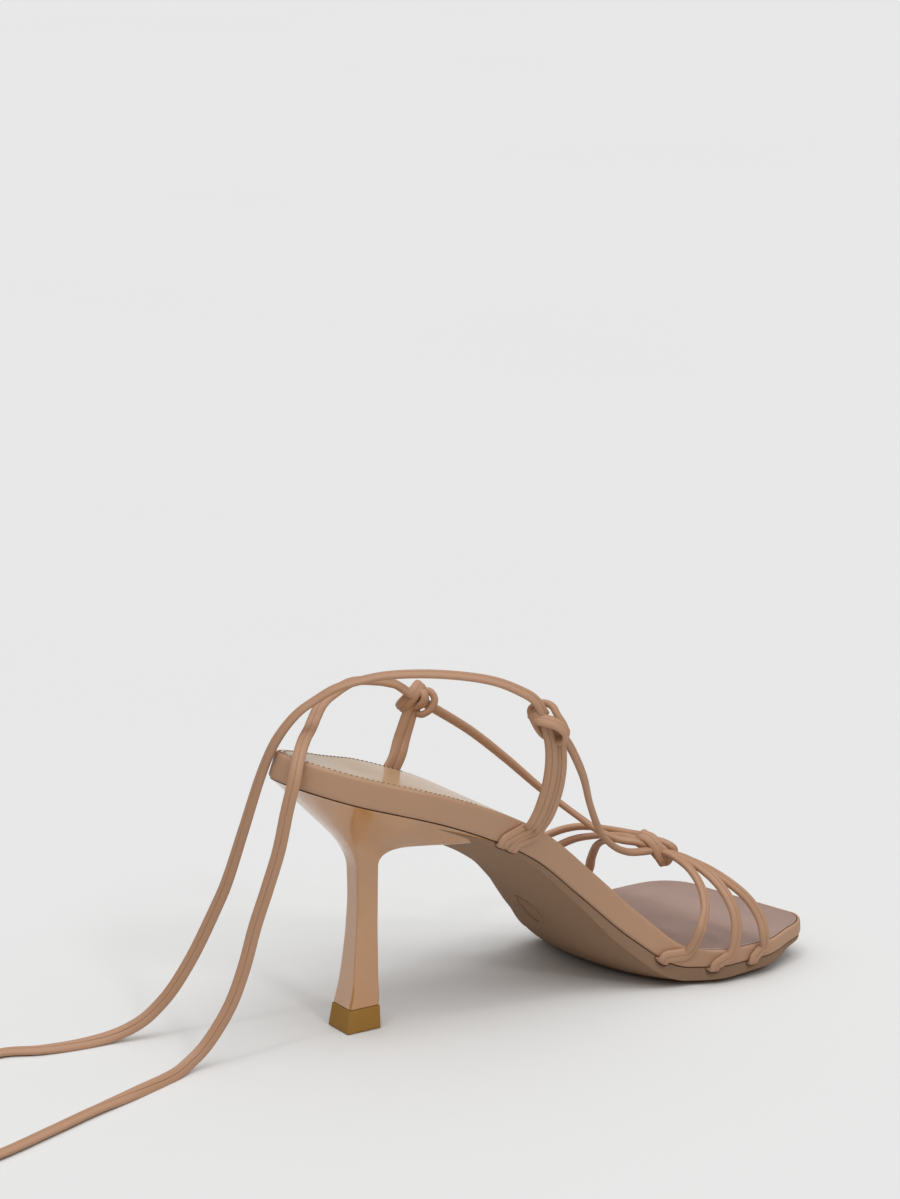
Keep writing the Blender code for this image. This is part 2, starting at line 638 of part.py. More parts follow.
def knot_turns():
    """The turns of the three knots."""
    middles = knot_middles()
    turns = []
    for knot, off, axis, wide, narrow, spin, radius in KNOT_TURNS:
        middle = middles[knot] + Vector(off)
        turns.append(turn(f"{knot}_turn_{len(turns)}", middle, axis, wide, narrow, spin, radius))
    return turns


def knot_hearts():
    """The strap bunched inside each knot, solid."""
    hearts = []
    for knot, middle in knot_middles().items():
        mesh = bpy.data.meshes.new(f"{knot}_heart")
        build = bmesh.new()
        bmesh.ops.create_icosphere(build, subdivisions=2, radius=HEART_RADIUS)
        bmesh.ops.translate(build, verts=build.verts, vec=middle)
        build.to_mesh(mesh)
        build.free()
        hearts.append(bpy.data.objects.new(f"{knot}_heart", mesh))
    return hearts


def tie_stub(name, knot, route):
    """The first stretch of a tie, fast in its knot, which the free tie goes on from."""
    start = Vector(route[0])
    way = (Vector(route[1]) - start).normalized()
    return tube(name, [knot, start - way * STUB_STRAIGHT, start - way * GAP], TIE_RADIUS)


def cut(thing, tool, operation, name):
    """A Boolean of one solid with another or with a collection of them."""
    step = thing.modifiers.new(name, "BOOLEAN")
    step.operation = operation
    step.solver = "EXACT"
    if isinstance(tool, bpy.types.Collection):
        step.operand_type = "COLLECTION"
        step.collection = tool
    else:
        step.object = tool


def make_tie(name, points):
    """A free tie: a tube from its knot to where its coil begins."""
    last = Vector(points[-1])
    route = list(points) + [last + Vector(RUN_OUT_WAY) * RUN_OUT]
    return tube(name, curve_through(route, TIE_STEP), TIE_RADIUS)


def make_coil(name, points):
    """The turned ring that holds a tie's spare length."""
    last = Vector(points[-1]) + Vector(RUN_OUT_WAY) * RUN_OUT
    middle = last + Vector(RUN_OUT_WAY) * (GAP + COIL_MIDDLE_RADIUS + COIL_BAND / 2)
    half, height, edge = COIL_BAND / 2, COIL_HEIGHT, COIL_HEIGHT / 4
    profile = ((half, height - edge), (half, edge), (half - edge, 0), (edge - half, 0), (-half, edge),
               (-half, height - edge), (edge - half, height), (half - edge, height))
    rings = []
    for k in range(COIL_STEPS):
        angle = 2 * math.pi * k / COIL_STEPS
        rings.append([(middle.x + (COIL_MIDDLE_RADIUS + out) * math.cos(angle),
                       middle.y + (COIL_MIDDLE_RADIUS + out) * math.sin(angle), up) for out, up in profile])
    mesh = bpy.data.meshes.new(name)
    build = bmesh.new()
    rows = [[build.verts.new(point) for point in row] for row in rings]
    for k, row in enumerate(rows):
        after = rows[(k + 1) % len(rows)]
        for j in range(len(row)):
            build.faces.new((row[j], row[(j + 1) % len(row)], after[(j + 1) % len(row)], after[j]))
    bmesh.ops.recalc_face_normals(build, faces=build.faces)
    build.to_mesh(mesh)
    build.free()
    return bpy.data.objects.new(name, mesh)


def finish_material(key):
    """A Principled material for one finish."""
    red, green, blue, rough, title = COLOURS[key]
    material = bpy.data.materials.new(title)
    material.use_nodes = True
    shader = material.node_tree.nodes["Principled BSDF"]
    shader.inputs["Base Color"].default_value = (red, green, blue, 1.0)
    shader.inputs["Roughness"].default_value = rough
    shader.inputs["Metallic"].default_value = 0.0
    return material


def put(thing, collection):
    """Move an object to its own collection."""
    for old in list(thing.users_collection):
        old.objects.unlink(thing)
    collection.objects.link(thing)


def hide(thing):
    """Mark a cutter or a guide."""
    thing.hide_render = True
    thing.display_type = "WIRE"


def main():
    for thing in list(bpy.data.objects):
        bpy.data.objects.remove(thing)
    parts = bpy.data.collections.new("lace-up stiletto sandal")
    cutters = bpy.data.collections.new("cutters")
    turns = bpy.data.collections.new("upper pieces")
    pockets = bpy.data.collections.new("strap pockets")
    for collection in (parts, cutters, turns, pockets):
        bpy.context.scene.collection.children.link(collection)

    footbed, sock, outsole, heel, lift = make_footbed(), make_sock(), make_outsole(), make_heel(), make_lift()
    recess, over_sole = make_sock_recess(), make_sole_cutter()
    round_outsole = make_outsole("outsole_room", GAP)
    for tool in (recess, over_sole, round_outsole):
        put(tool, cutters)
        hide(tool)
    cut(footbed, recess, "DIFFERENCE", "Sock recess")
    cut(heel, over_sole, "DIFFERENCE", "Seat")
    cut(heel, round_outsole, "DIFFERENCE", "Outsole room")

    stubs = [tie_stub("medial_stub", knot_point("medial", MEDIAL_KNOT), MEDIAL_TIE),
             tie_stub("lateral_stub", knot_point("lateral", LATERAL_KNOT), LATERAL_TIE)]
    pieces = [as_mesh(piece) for piece in strap_tubes() + lace_tubes() + knot_turns() + stubs]
    upper, others = pieces[0], pieces[1:] + knot_hearts()
    upper.name = "upper"
    for piece in others:
        put(piece, turns)
        hide(piece)
    cut(upper, turns, "UNION", "Join where they cross")
    for piece in strap_tubes(GAP):
        pocket = as_mesh(piece)
        put(pocket, pockets)
        hide(pocket)
    cut(outsole, pockets, "DIFFERENCE", "Strap pockets")

    ties = [as_mesh(make_tie("tie_medial", MEDIAL_TIE)), as_mesh(make_tie("tie_lateral", LATERAL_TIE))]
    coils = [make_coil("tie_medial_coil", MEDIAL_TIE), make_coil("tie_lateral_coil", LATERAL_TIE)]

    keys = ["footbed", "insole_sock", "outsole", "heel", "heel_top_lift", "upper", "tie", "tie", "tie", "tie"]
    for key, thing in zip(keys, [footbed, sock, outsole, heel, lift, upper] + ties + coils):
        put(thing, parts)
        thing.data.materials.clear()
        thing.data.materials.append(finish_material(key))


main()
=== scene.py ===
"""Looks for a left lace-up stiletto sandal: nude patent straps, wrapped footbed and slim covered heel.

Metres, +Z up, origin on the floor under the heel. +Y points to the toe and +X to the medial side.
"""

import functools
import json
import math

import bmesh
import bpy
import numpy as np
from bpy.props import FloatProperty, FloatVectorProperty, PointerProperty
from mathutils import Matrix, Vector

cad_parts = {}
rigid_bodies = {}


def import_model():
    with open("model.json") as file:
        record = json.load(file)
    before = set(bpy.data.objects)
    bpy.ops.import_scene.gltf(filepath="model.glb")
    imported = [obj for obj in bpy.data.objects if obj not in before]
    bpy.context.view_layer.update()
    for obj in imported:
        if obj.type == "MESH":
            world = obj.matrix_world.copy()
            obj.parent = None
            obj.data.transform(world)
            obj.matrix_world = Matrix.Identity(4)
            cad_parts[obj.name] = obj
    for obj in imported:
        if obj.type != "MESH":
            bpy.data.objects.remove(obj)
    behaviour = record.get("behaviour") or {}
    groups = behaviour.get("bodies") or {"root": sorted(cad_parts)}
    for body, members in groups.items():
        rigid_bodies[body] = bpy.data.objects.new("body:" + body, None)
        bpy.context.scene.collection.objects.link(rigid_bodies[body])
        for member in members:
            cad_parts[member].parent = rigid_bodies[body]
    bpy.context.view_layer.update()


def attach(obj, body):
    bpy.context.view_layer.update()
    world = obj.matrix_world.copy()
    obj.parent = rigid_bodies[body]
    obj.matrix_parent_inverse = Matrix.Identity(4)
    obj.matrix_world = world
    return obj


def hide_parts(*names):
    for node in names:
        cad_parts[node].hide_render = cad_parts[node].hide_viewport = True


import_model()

bl_info = {
    "name": "Lace-up stiletto sandal",
    "version": (1, 0, 0),
    "blender": (4, 5, 0),
    "location": "3D View > Sidebar > Sandal",
    "description": "Dresses the solids of a lace-up sandal in patent leather, rubber and thread",
    "category": "Object",
}

# Camera: where it stands, its own axes and its lens
CAMERA_PLACE = (0.977935, -0.579183, 0.419949)
VIEW_RIGHT = Vector((0.53732716, 0.84330716, -0.01060912))
VIEW_UP = Vector((-0.19004118, 0.13332459, 0.9726813))
VIEW_NEAR = Vector((0.82168356, -0.52063191, 0.23190201))
CAMERA_LENS = 105.86

# Sole outline and profile
SOLE_LENGTH = 0.1996
HEEL_SETBACK = 0.0262
SEAT_HEIGHT = 0.1006
BALL_HEIGHT = 0.0121
SEAT_HALF_WIDTH = 0.0268
MEDIAL_BALL_HALF = 0.0373
LATERAL_BALL_HALF = 0.0435
LATERAL_SETBACK = 0.0120
SEAT_ROUND = 0.0262
TOE_CORNER = 0.0075
BAND_DEPTH = 0.0092
BAND_EDGE = 0.0011
LIP_STEP = 0.0001
SEAM_DROP = 0.00012
SOCK_THICKNESS = 0.0009
SOCK_INSET = 0.0016
SOCK_RECESS = 0.0010
SOCK_EDGE = 0.0004
SOCK_FOLD = 0.0016
# Where the sock's painted reflection of the straps fades in towards the forefoot
FOREFOOT_REFLECTION_BLEND = (0.040, 0.110)
STITCH_INSET = 0.0012
STITCH_REACH = 0.30
THREAD_DROP = 0.00002
OUTSOLE_SETBACK = 0.0008
OUTSOLE_EDGE = 0.0042
OUTSOLE_LEDGE = 0.0016
KEEL_DEPTH = 0.0090
OUTSOLE_START = 0.16
OUTSOLE_TAIL_INSET = 0.0034
OUTSOLE_TAIL_END = 0.36
OUTSOLE_SOFT_EDGE = 0.0005
OUTSOLE_TOE_START = 0.96
OUTSOLE_TOE_SHARE = 0.037
KEEL_POWER = 2.4
OUTSOLE_SHINE = 0.06
LAYER_COLUMNS = 15
RIM_MIDDLE = 120
GAP = 0.0003

# Plain oval ring under the waist: its place and way, its half length and half width, its tube's
# width and the half width of the sole there
RING_PLACE = (0.583, 0.02)
RING_HALF = (0.0056, 0.0046)
RING_WIDTH = 0.0011
RING_STEPS = 40
WAIST_HALF_WIDTH = 0.0280

# Heel
LIFT_SIDE = 0.0132
LIFT_TOP = 0.0120
LIFT_LEAN = 0.0008
LIFT_HEIGHT = 0.0080
COLUMN_WIDTH = 0.0077
COLUMN_DEPTH = 0.0082
COLUMN_LEAN = 0.0042
COLUMN_TOP = 0.0560
COLUMN_EDGE = 0.0005
MEDIAL_WING_REACH = 0.0455
LATERAL_WING_REACH = 0.0230
SEAT_FILLET = 0.0060
BREAST_FILLET = 0.0068
CONE_TURN = 0.30
HEEL_BACK = 0.004
HEEL_INSET = 0.0006
HEEL_SAMPLES = 5
COLUMN_STEPS = 48
CONE_STEPS = 25
SEAT_STEPS = 15
WORN_EDGE = 0.0004

# Straps and ties
FOOT_STEPS = 16
STRAP_GAP = 0.0001
STRAP_SPACING = 0.0009
LACE_SPACING = 0.0010
STRAND_SPACING = 0.0005
STRAND_RING_POINTS = 56
STRAND_SEAM_SHARE = 0.6
FOREFOOT_CORE = (-0.003, 0.012)
FOOT_NARROWING = 0.94
NEAR_FOOT = 0.9
WRAP_SCALE = 0.005
INSTEP_HEIGHT = 0.0412
KNOT_HEIGHT = 0.1040
TUCK = 0.0030
FOOT_THINNING = 0.62
COIL_MIDDLE_RADIUS = 0.0230
COIL_BAND = 0.0072
COIL_TURNS = 3
COIL_STEPS = 18
COIL_LEAD = 0.0140
TIE_SPACING = 0.0012
KNOT_REACH = 0.30
SETTLE_HEIGHT = 0.0400
RUN_OUT = 0.0120
RUN_OUT_WAY = Vector((-0.537, -0.843, 0.0)).normalized()

# Sections of the sole from the heel's back to the toe. "place" is a share of the sole's length,
# "rise" of the height from ball to seat, "ball" how far a section belongs to the forefoot,
# "medial" and "lateral" of the half widths there, "back" of the lateral setback, "band" of the
# band's depth, "edge" of the outsole's edge and "keel" of its depth along the middle.
SECTION_COLUMNS = ("place", "rise", "ball", "medial", "lateral", "back", "band", "edge", "keel")
SECTIONS = (
    (0.000, 1.000, 0.0, 0.78, 0.72, 0.00, 0.98, 0.40, 0.25),
    (0.120, 0.902, 0.0, 0.84, 0.82, 0.00, 1.00, 0.40, 0.30),
    (0.220, 0.828, 0.0, 1.00, 1.00, -0.05, 1.00, 0.42, 0.55),
    (0.340, 0.714, 0.1, 0.94, 0.98, -0.05, 1.02, 0.46, 0.90),
    (0.460, 0.560, 0.3, 0.76, 0.84, 0.15, 1.02, 0.50, 0.94),
    (0.560, 0.359, 0.6, 0.67, 0.90, 0.34, 1.00, 0.64, 0.92),
    (0.650, 0.158, 0.8, 0.74, 0.95, 0.58, 0.94, 1.00, 1.12),
    (0.730, 0.016, 1.0, 0.86, 0.98, 0.92, 0.74, 1.15, 0.90),
    (0.800, 0.000, 1.0, 1.00, 1.00, 0.94, 0.62, 1.05, 0.74),
    (0.870, 0.000, 1.0, 1.00, 1.00, 0.88, 0.58, 0.90, 0.62),
    (0.940, 0.013, 1.0, 0.88, 0.93, 0.84, 0.55, 0.46, 0.29),
    (1.000, 0.019, 1.0, 0.74, 0.74, 0.78, 0.53, 0.26, 0.13),
)

# The heel column's sections from the lift up: share of its height, of its lean, width and depth
COLUMN_SECTIONS = (
    (0.00, 0.20, 1.53, 1.42),
    (0.07, 0.35, 1.47, 1.35),
    (0.18, 0.48, 1.36, 1.22),
    (0.36, 0.66, 1.20, 1.12),
    (0.58, 0.84, 1.06, 1.03),
    (0.80, 0.97, 1.00, 1.00),
    (1.00, 1.00, 1.02, 1.03),
)
WING_STOPS = (1.0, 0.98, 0.70, 0.44, 0.22, 0.09, 0.025)

# Straps over the forefoot: side, the places where the foot meets the band's top and bottom, the
# strap's width at the knot, halfway and on the band in metres, and its route. A route's columns
# are "across", a share of the ball's half width, "along", a share of the sole's length ahead of
# the heel, and "up", a share of the instep's height.
STRAPS = (
    ("medial", 0.722, 0.698, (0.0034, 0.0032, 0.0048), (
        (0.060, 0.730, 0.985), (0.241, 0.735, 0.975), (0.509, 0.735, 0.920), (0.724, 0.729, 0.816),
        (0.871, 0.716, 0.684), (0.938, 0.700, 0.580), (0.952, 0.690, 0.490))),
    ("medial", 0.792, 0.766, (0.0034, 0.0040, 0.0044), (
        (0.080, 0.732, 0.985), (0.375, 0.751, 0.959), (0.643, 0.764, 0.876), (0.831, 0.773, 0.755),
        (0.960, 0.776, 0.604), (1.022, 0.771, 0.440))),
    ("medial", 0.862, 0.840, (0.0034, 0.0036, 0.0042), (
        (0.100, 0.734, 0.980), (0.469, 0.762, 0.934), (0.724, 0.791, 0.830), (0.898, 0.818, 0.689),
        (1.005, 0.834, 0.524), (1.062, 0.836, 0.380))),
    ("lateral", 0.615, 0.600, (0.0034, 0.0036, 0.0042), (
        (0.040, 0.736, 1.000), (0.230, 0.737, 1.034), (0.391, 0.735, 1.020), (0.644, 0.713, 1.010),
        (0.782, 0.682, 1.015), (0.874, 0.650, 0.990), (0.925, 0.610, 0.940), (0.930, 0.560, 0.890))),
    ("lateral", 0.650, 0.635, (0.0034, 0.0036, 0.0042), (
        (0.040, 0.722, 1.010), (0.276, 0.717, 1.022), (0.529, 0.706, 0.985), (0.713, 0.693, 0.937),
        (0.851, 0.671, 0.888), (0.925, 0.640, 0.820), (0.950, 0.600, 0.740))),
    ("lateral", 0.800, 0.790, (0.0034, 0.0036, 0.0042), (
        (0.040, 0.712, 0.995), (0.230, 0.709, 1.015), (0.506, 0.707, 0.950), (0.736, 0.712, 0.842),
        (0.885, 0.721, 0.670), (0.965, 0.727, 0.520))),
)
INSTEP_KNOT = (0.01, 0.727, 0.990)
MEDIAL_KNOT = (0.871, 0.338, 1.015)
LATERAL_KNOT = (0.713, 0.268, 0.975)
MEDIAL_LOOP = (
    (1.040, 0.330, 0.665), (1.101, 0.342, 0.718), (1.175, 0.351, 0.798), (1.224, 0.353, 0.878),
    (1.231, 0.350, 0.946), (1.213, 0.341, 1.010))
LATERAL_LOOP = (
    (1.095, 0.211, 0.795), (1.155, 0.227, 0.843), (1.175, 0.239, 0.885), (1.185, 0.252, 0.932),
    (1.160, 0.266, 0.975))
MEDIAL_LOOP_FOOT = (0.418, 0.386)
LATERAL_LOOP_FOOT = (0.295, 0.280)
LOOPS = (("medial", MEDIAL_LOOP_FOOT, MEDIAL_LOOP), ("lateral", LATERAL_LOOP_FOOT, LATERAL_LOOP))
# The way that each side loop's flat face looks at its knot
LOOP_FACES = {"medial": Vector((0.86, -0.48, 0.15)), "lateral": Vector((-0.90, 0.40, -0.15))}
MEDIAL_LACE = (
    (0.06, 0.11, 0.110), (0.10, 0.18, 0.210), (0.16, 0.26, 0.360), (0.28, 0.34, 0.540),
    (0.46, 0.46, 0.730), (0.64, 0.60, 0.860), (0.80, 0.75, 0.945), (0.94, 0.92, 0.990))
LATERAL_LACE = (
    (0.00, 0.080, 0.070), (0.07, 0.250, 0.230), (0.20, 0.400, 0.410), (0.36, 0.540, 0.600),
    (0.49, 0.610, 0.690), (0.65, 0.690, 0.790), (0.75, 0.745, 0.855), (0.85, 0.830, 0.920),
    (0.94, 0.920, 0.950))
LACES = (("medial", MEDIAL_KNOT, MEDIAL_LACE), ("lateral", LATERAL_KNOT, LATERAL_LACE))

# Free ties, each from its knot over the seat to the floor behind the heel, as points in metres
MEDIAL_TIE = (
    (0.0318, 0.0540, 0.1133), (0.0300, 0.0503, 0.1164), (0.0260, 0.0430, 0.1202),
    (0.0220, 0.0341, 0.1226), (0.0170, 0.0223, 0.1243), (0.0120, 0.0105, 0.1247),
    (0.0080, 0.0025, 0.1236), (0.0040, -0.0070, 0.1211), (0.0010, -0.0139, 0.1170),
    (-0.0010, -0.0190, 0.1133), (-0.0030, -0.0237, 0.1077), (-0.0050, -0.0273, 0.1009),
    (-0.0080, -0.0305, 0.0900), (-0.0118, -0.0348, 0.0725), (-0.0160, -0.0390, 0.0549),
    (-0.0187, -0.0424, 0.0448), (-0.0225, -0.0486, 0.0299), (-0.0255, -0.0550, 0.0186),
    (-0.0280, -0.0603, 0.0117), (-0.0300, -0.0663, 0.0067), (-0.0325, -0.0750, 0.0031),
    (-0.0338, -0.0870, 0.0021), (-0.0365, -0.1005, 0.0021), (-0.0416, -0.1130, 0.0021),
)
LATERAL_TIE = (
    (-0.0307, 0.0378, 0.1078), (-0.0304, 0.0344, 0.1092), (-0.0290, 0.0279, 0.1111),
    (-0.0250, 0.0163, 0.1134), (-0.0195, 0.0046, 0.1117), (-0.0160, -0.0014, 0.1100),
    (-0.0106, -0.0069, 0.1080), (-0.0038, -0.0128, 0.1064), (0.0028, -0.0191, 0.1047),
    (0.0096, -0.0252, 0.1012), (0.0130, -0.0290, 0.0948), (0.0135, -0.0323, 0.0848),
    (0.0128, -0.0352, 0.0721), (0.0112, -0.0390, 0.0592), (0.0095, -0.0430, 0.0464),
    (0.0085, -0.0472, 0.0321), (0.0075, -0.0523, 0.0201), (0.0062, -0.0600, 0.0092),
    (0.0068, -0.0678, 0.0038), (0.0106, -0.0766, 0.0022), (0.0170, -0.0940, 0.0021),
    (0.0228, -0.1110, 0.0021), (0.0300, -0.1290, 0.0021), (0.0384, -0.1510, 0.0021),
)
# Which way a tie's flat face looks, at shares of its way to the coil
MEDIAL_TIE_FACE = (
    (0.00, (0.5, -0.2, 0.8)), (0.10, (0.35, 0.0, 1.0)), (0.30, (0.1, -0.1, 1.0)),
    (0.42, (0.25, -0.9, 0.6)), (0.60, (0.62, -0.8, 0.2)), (0.75, (0.6, -0.5, 0.5)),
    (0.86, (0.1, -0.2, 1.0)), (1.00, (0.0, 0.0, 1.0)),
)
LATERAL_TIE_FACE = (
    (0.00, (0.5, -0.2, 0.8)), (0.15, (0.3, -0.1, 1.0)), (0.28, (0.5, -0.3, 1.0)),
    (0.50, (0.9, -0.6, 0.4)), (0.62, (0.85, -0.5, 0.1)), (0.69, (0.7, -0.4, 0.5)),
    (0.76, (0.1, -0.1, 1.0)), (1.00, (0.0, 0.0, 1.0)),
)
TIES = (
    ("medial", MEDIAL_KNOT, MEDIAL_TIE, MEDIAL_TIE_FACE),
    ("lateral", LATERAL_KNOT, LATERAL_TIE, LATERAL_TIE_FACE),
)

MILLIMETRE = 0.001

# Strands of each knot, in millimetres right, up and near as the camera sees them from the knot's
# middle. Before them stand whether the strand closes on itself, its width and its thickness.
KNOT_STRANDS = {
    "medial": (
        (True, 4.8, 2.2, (
            (-5.5, 3.1, 1.3), (-4.1, 1.4, 2.4), (-1.3, 0.6, 3.1), (1.5, -0.2, 3.0), (4.0, -1.6, 2.5),
            (5.7, -3.8, 1.4), (4.8, -6.0, -1.0), (1.7, -5.2, -2.8), (-1.3, -3.8, -2.8), (-3.5, -1.0, -1.8))),
        (False, 2.9, 2.4, (
            (-5.8, 2.1, 1.2), (-6.1, 4.3, 0.3), (-4.1, 6.0, -0.8), (-1.3, 6.4, -0.9), (1.2, 5.2, 0.2),
            (2.8, 2.4, 1.0), (4.8, -0.7, 0.6), (6.0, -3.6, -0.5))),
    ),
    "lateral": (
        (True, 4.9, 2.2, (
            (-5.8, -3.1, 0.5), (-3.8, -0.8, 2.2), (-1.5, 1.9, 2.6), (0.2, 4.2, 1.2), (0.9, 4.9, -0.5),
            (-0.3, 3.4, -2.5), (-3.3, 0.1, -2.8), (-5.5, -2.3, -1.5))),
        (False, 3.6, 2.2, (
            (0.9, 3.4, 0.5), (2.1, 1.9, 1.8), (2.3, -0.3, 2.0), (0.9, -2.1, 1.2), (-1.3, -3.1, -0.5),
            (-2.8, -1.8, -1.5))),
        (True, 2.7, 2.4, (
            (1.5, 2.2, -1.0), (3.6, 2.9, 0.0), (5.2, 1.6, 0.5), (5.8, -0.5, 0.6), (5.0, -2.7, 0.6),
            (3.2, -4.5, 0.4), (1.0, -5.4, 0.0), (-0.6, -4.4, -1.2), (0.2, -1.4, -1.8))),
    ),
    "instep": (
        (True, 5.1, 2.2, (
            (-5.2, 5.0, 0.5), (-2.4, 3.9, 2.2), (0.2, 1.1, 3.0), (1.7, -2.2, 2.8), (2.9, -4.1, 1.7),
            (3.2, -4.5, -0.4), (2.0, -2.7, -2.7), (-1.6, 1.6, -3.0), (-4.7, 4.5, -1.5))),
        (False, 3.2, 2.2, (
            (0.4, 3.2, 1.0), (2.5, 2.7, 1.5), (5.0, 1.4, 2.0), (6.6, -0.2, 1.2), (6.4, -1.8, -0.4),
            (4.6, -2.4, -1.6))),
        (False, 3.2, 2.2, (
            (1.8, 1.6, 1.6), (3.2, 0.1, 2.5), (4.2, -2.2, 2.2), (4.7, -4.0, 1.2), (3.6, -4.9, -0.4),
            (1.8, -4.0, -1.8))),
    ),
}

# Studio light: each sun's way towards it, strength and spread in degrees, and the sky's height and
# strength at the horizon and overhead
STUDIO_SUNS = (
    ("key_sun", (0.28, 0.0, 1.0), 0.90, 45.0),
    ("side_sun", (1.26, 0.07, 1.0), 0.30, 8.0),
    ("glint_sun", (0.20, -0.40, 1.0), 0.16, 6.0),
)
SKY_LOW = (0.20, 0.05)
SKY_HIGH = (0.78, 0.82)
FLOOR_SIZE = 12.0
FLOOR_DROP = 0.0002
FLOOR_DEEPER = 0.985

# Finishes: base colour and the deeper one of its clouds, roughness, the clear coat's weight, roughness
# and index, the clouds' scale and amount, the scuffs' scale and amount, the relief's grain scale and
# height with its ripple scale and height, and the strength and depth of the relief. Some have more:
# "seam" is the share of each colour left in a seam, and how much of that shows: painted shade in a
# strap's groove and in the gap beside the sock, "shine" how the bare surface reflects, and "forefoot"
# the two colours under the forefoot, which paint the straps' reflection into the glossy sock.
FINISHES = {
    "patent_strap": {
        "colour": (0.425, 0.188, 0.064), "deep": (0.350, 0.145, 0.045), "rough": 0.24,
        "coat": (1.0, 0.06, 1.9), "clouds": (90.0, 0.55), "scuffs": (400.0, 0.12),
        # seam: painted shade in the groove along each strap's face
        "relief": (1500.0, 0.10, 260.0, 0.55), "bump": (0.35, 0.0006), "seam": ((0.26, 0.18, 0.14), 0.85)},
    "patent_wrap": {
        "colour": (0.530, 0.250, 0.088), "deep": (0.462, 0.204, 0.066), "rough": 0.22,
        "coat": (1.0, 0.06, 1.9), "clouds": (35.0, 0.6), "scuffs": (300.0, 0.10),
        # seam: painted shade on the recess wall, a dark line in the gap beside the sock
        "relief": (1400.0, 0.08, 70.0, 0.9), "bump": (0.30, 0.0006), "seam": ((0.26, 0.18, 0.14), 0.85)},
    "patent_heel": {
        "colour": (0.555, 0.252, 0.070), "deep": (0.478, 0.204, 0.052), "rough": 0.20,
        "coat": (1.0, 0.06, 1.9), "clouds": (40.0, 0.7), "scuffs": (300.0, 0.10),
        "relief": (1400.0, 0.08, 80.0, 0.8), "bump": (0.25, 0.0006)},
    "sock": {
        "colour": (0.610, 0.395, 0.215), "deep": (0.570, 0.360, 0.190), "rough": 0.36,
        "coat": (0.50, 0.14, 1.5), "clouds": (60.0, 0.6), "scuffs": (250.0, 0.10),
        # seam: painted shade on the sock's edge where it drops into the gap; forefoot: painted reflection of
        # the straps
        "relief": (1300.0, 0.35, 90.0, 0.5), "bump": (0.30, 0.0005), "seam": ((0.16, 0.11, 0.08), 0.9),
        "forefoot": ((0.415, 0.275, 0.226), (0.370, 0.238, 0.192))},
    "outsole_rubber": {
        "colour": (0.130, 0.060, 0.018), "deep": (0.096, 0.042, 0.012), "rough": 0.55,
        "coat": (0.0, 0.06, 1.9), "clouds": (45.0, 0.7), "scuffs": (500.0, 0.16),
        "relief": (1100.0, 0.5, 160.0, 0.5), "bump": (0.30, 0.0006)},
    "lift_rubber": {
        "colour": (0.430, 0.128, 0.003), "deep": (0.350, 0.098, 0.002), "rough": 0.42,
        "coat": (0.15, 0.06, 1.9), "clouds": (200.0, 0.7), "scuffs": (900.0, 0.2),
        "relief": (2500.0, 0.6, 500.0, 0.4), "bump": (0.35, 0.0006)},
    "thread": {
        "colour": (0.150, 0.085, 0.050), "deep": (0.110, 0.060, 0.035), "rough": 0.70,
        "coat": (0.0, 0.06, 1.9), "clouds": (500.0, 0.5), "scuffs": (600.0, 0.1),
        "relief": (4000.0, 0.4, 900.0, 0.4), "bump": (0.4, 0.0006)},
    "studio_floor": {
        "colour": (0.80, 0.805, 0.80), "rough": 0.75,
        "coat": (0.0, 0.06, 1.9), "clouds": (2.0, 0.5), "scuffs": (30.0, 0.05),
        "relief": (400.0, 0.05, 20.0, 0.05), "bump": (0.02, 0.0006), "shine": 0.0},
}


def length_setting(name, description, default, least):
    """A length that a user can change."""
    return FloatProperty(name=name, description=description, default=default, min=least, unit="LENGTH")


def colour_setting(name, description, finish_name):
    """A colour that a user can change. It starts as its finish has it."""
    return FloatVectorProperty(name=name, description=description, default=FINISHES[finish_name]["colour"],
                               min=0.0, max=1.0, subtype="COLOR", size=3)


class SandalSizes(bpy.types.PropertyGroup):
    """Sizes of the soft pieces that a user would change."""

    tie_width: length_setting("Tie Width", "Width of the flat tubular ankle ties", 0.0045, 0.002)
    tie_thickness: length_setting("Tie Thickness", "Thickness of the ankle ties", 0.0022, 0.001)
    strap_thickness: length_setting("Strap Thickness", "Thickness of the forefoot straps", 0.0024, 0.001)
    strand_width: length_setting("Strand Width", "Width of one strand of the medial side loop", 0.0046, 0.002)
    lateral_strand_width: length_setting(
        "Lateral Strand Width", "Width of one strand of the lateral side loop", 0.0035, 0.002)
    lace_width: length_setting("Lace Width", "Width of the laces to the instep knot", 0.0035, 0.002)
    seam_depth: length_setting("Seam Depth", "Depth of the seam along a strap's face", 0.00028, 0.0)
    stitch_length: length_setting(
        "Stitch Length", "Length of one stitch of the sock lining", 0.0012, 0.0004)
    stitch_pitch: length_setting("Stitch Pitch", "Distance from one stitch to the next", 0.0019, 0.0005)
    stitch_thickness: length_setting("Stitch Thickness", "Thickness of the thread", 0.00034, 0.0001)


class SandalColours(bpy.types.PropertyGroup):
    """Colours that a user would change."""

    patent: colour_setting("Patent", "Colour of the straps and ties", "patent_strap")
    wrap: colour_setting("Wrap", "Colour of the footbed's band", "patent_wrap")
    heel: colour_setting("Heel", "Colour of the heel cover", "patent_heel")
    outsole: colour_setting("Outsole", "Colour of the moulded outsole", "outsole_rubber")
    lift: colour_setting("Top Lift", "Colour of the heel's top lift", "lift_rubber")
    floor: colour_setting("Floor", "Colour of the studio floor", "studio_floor")


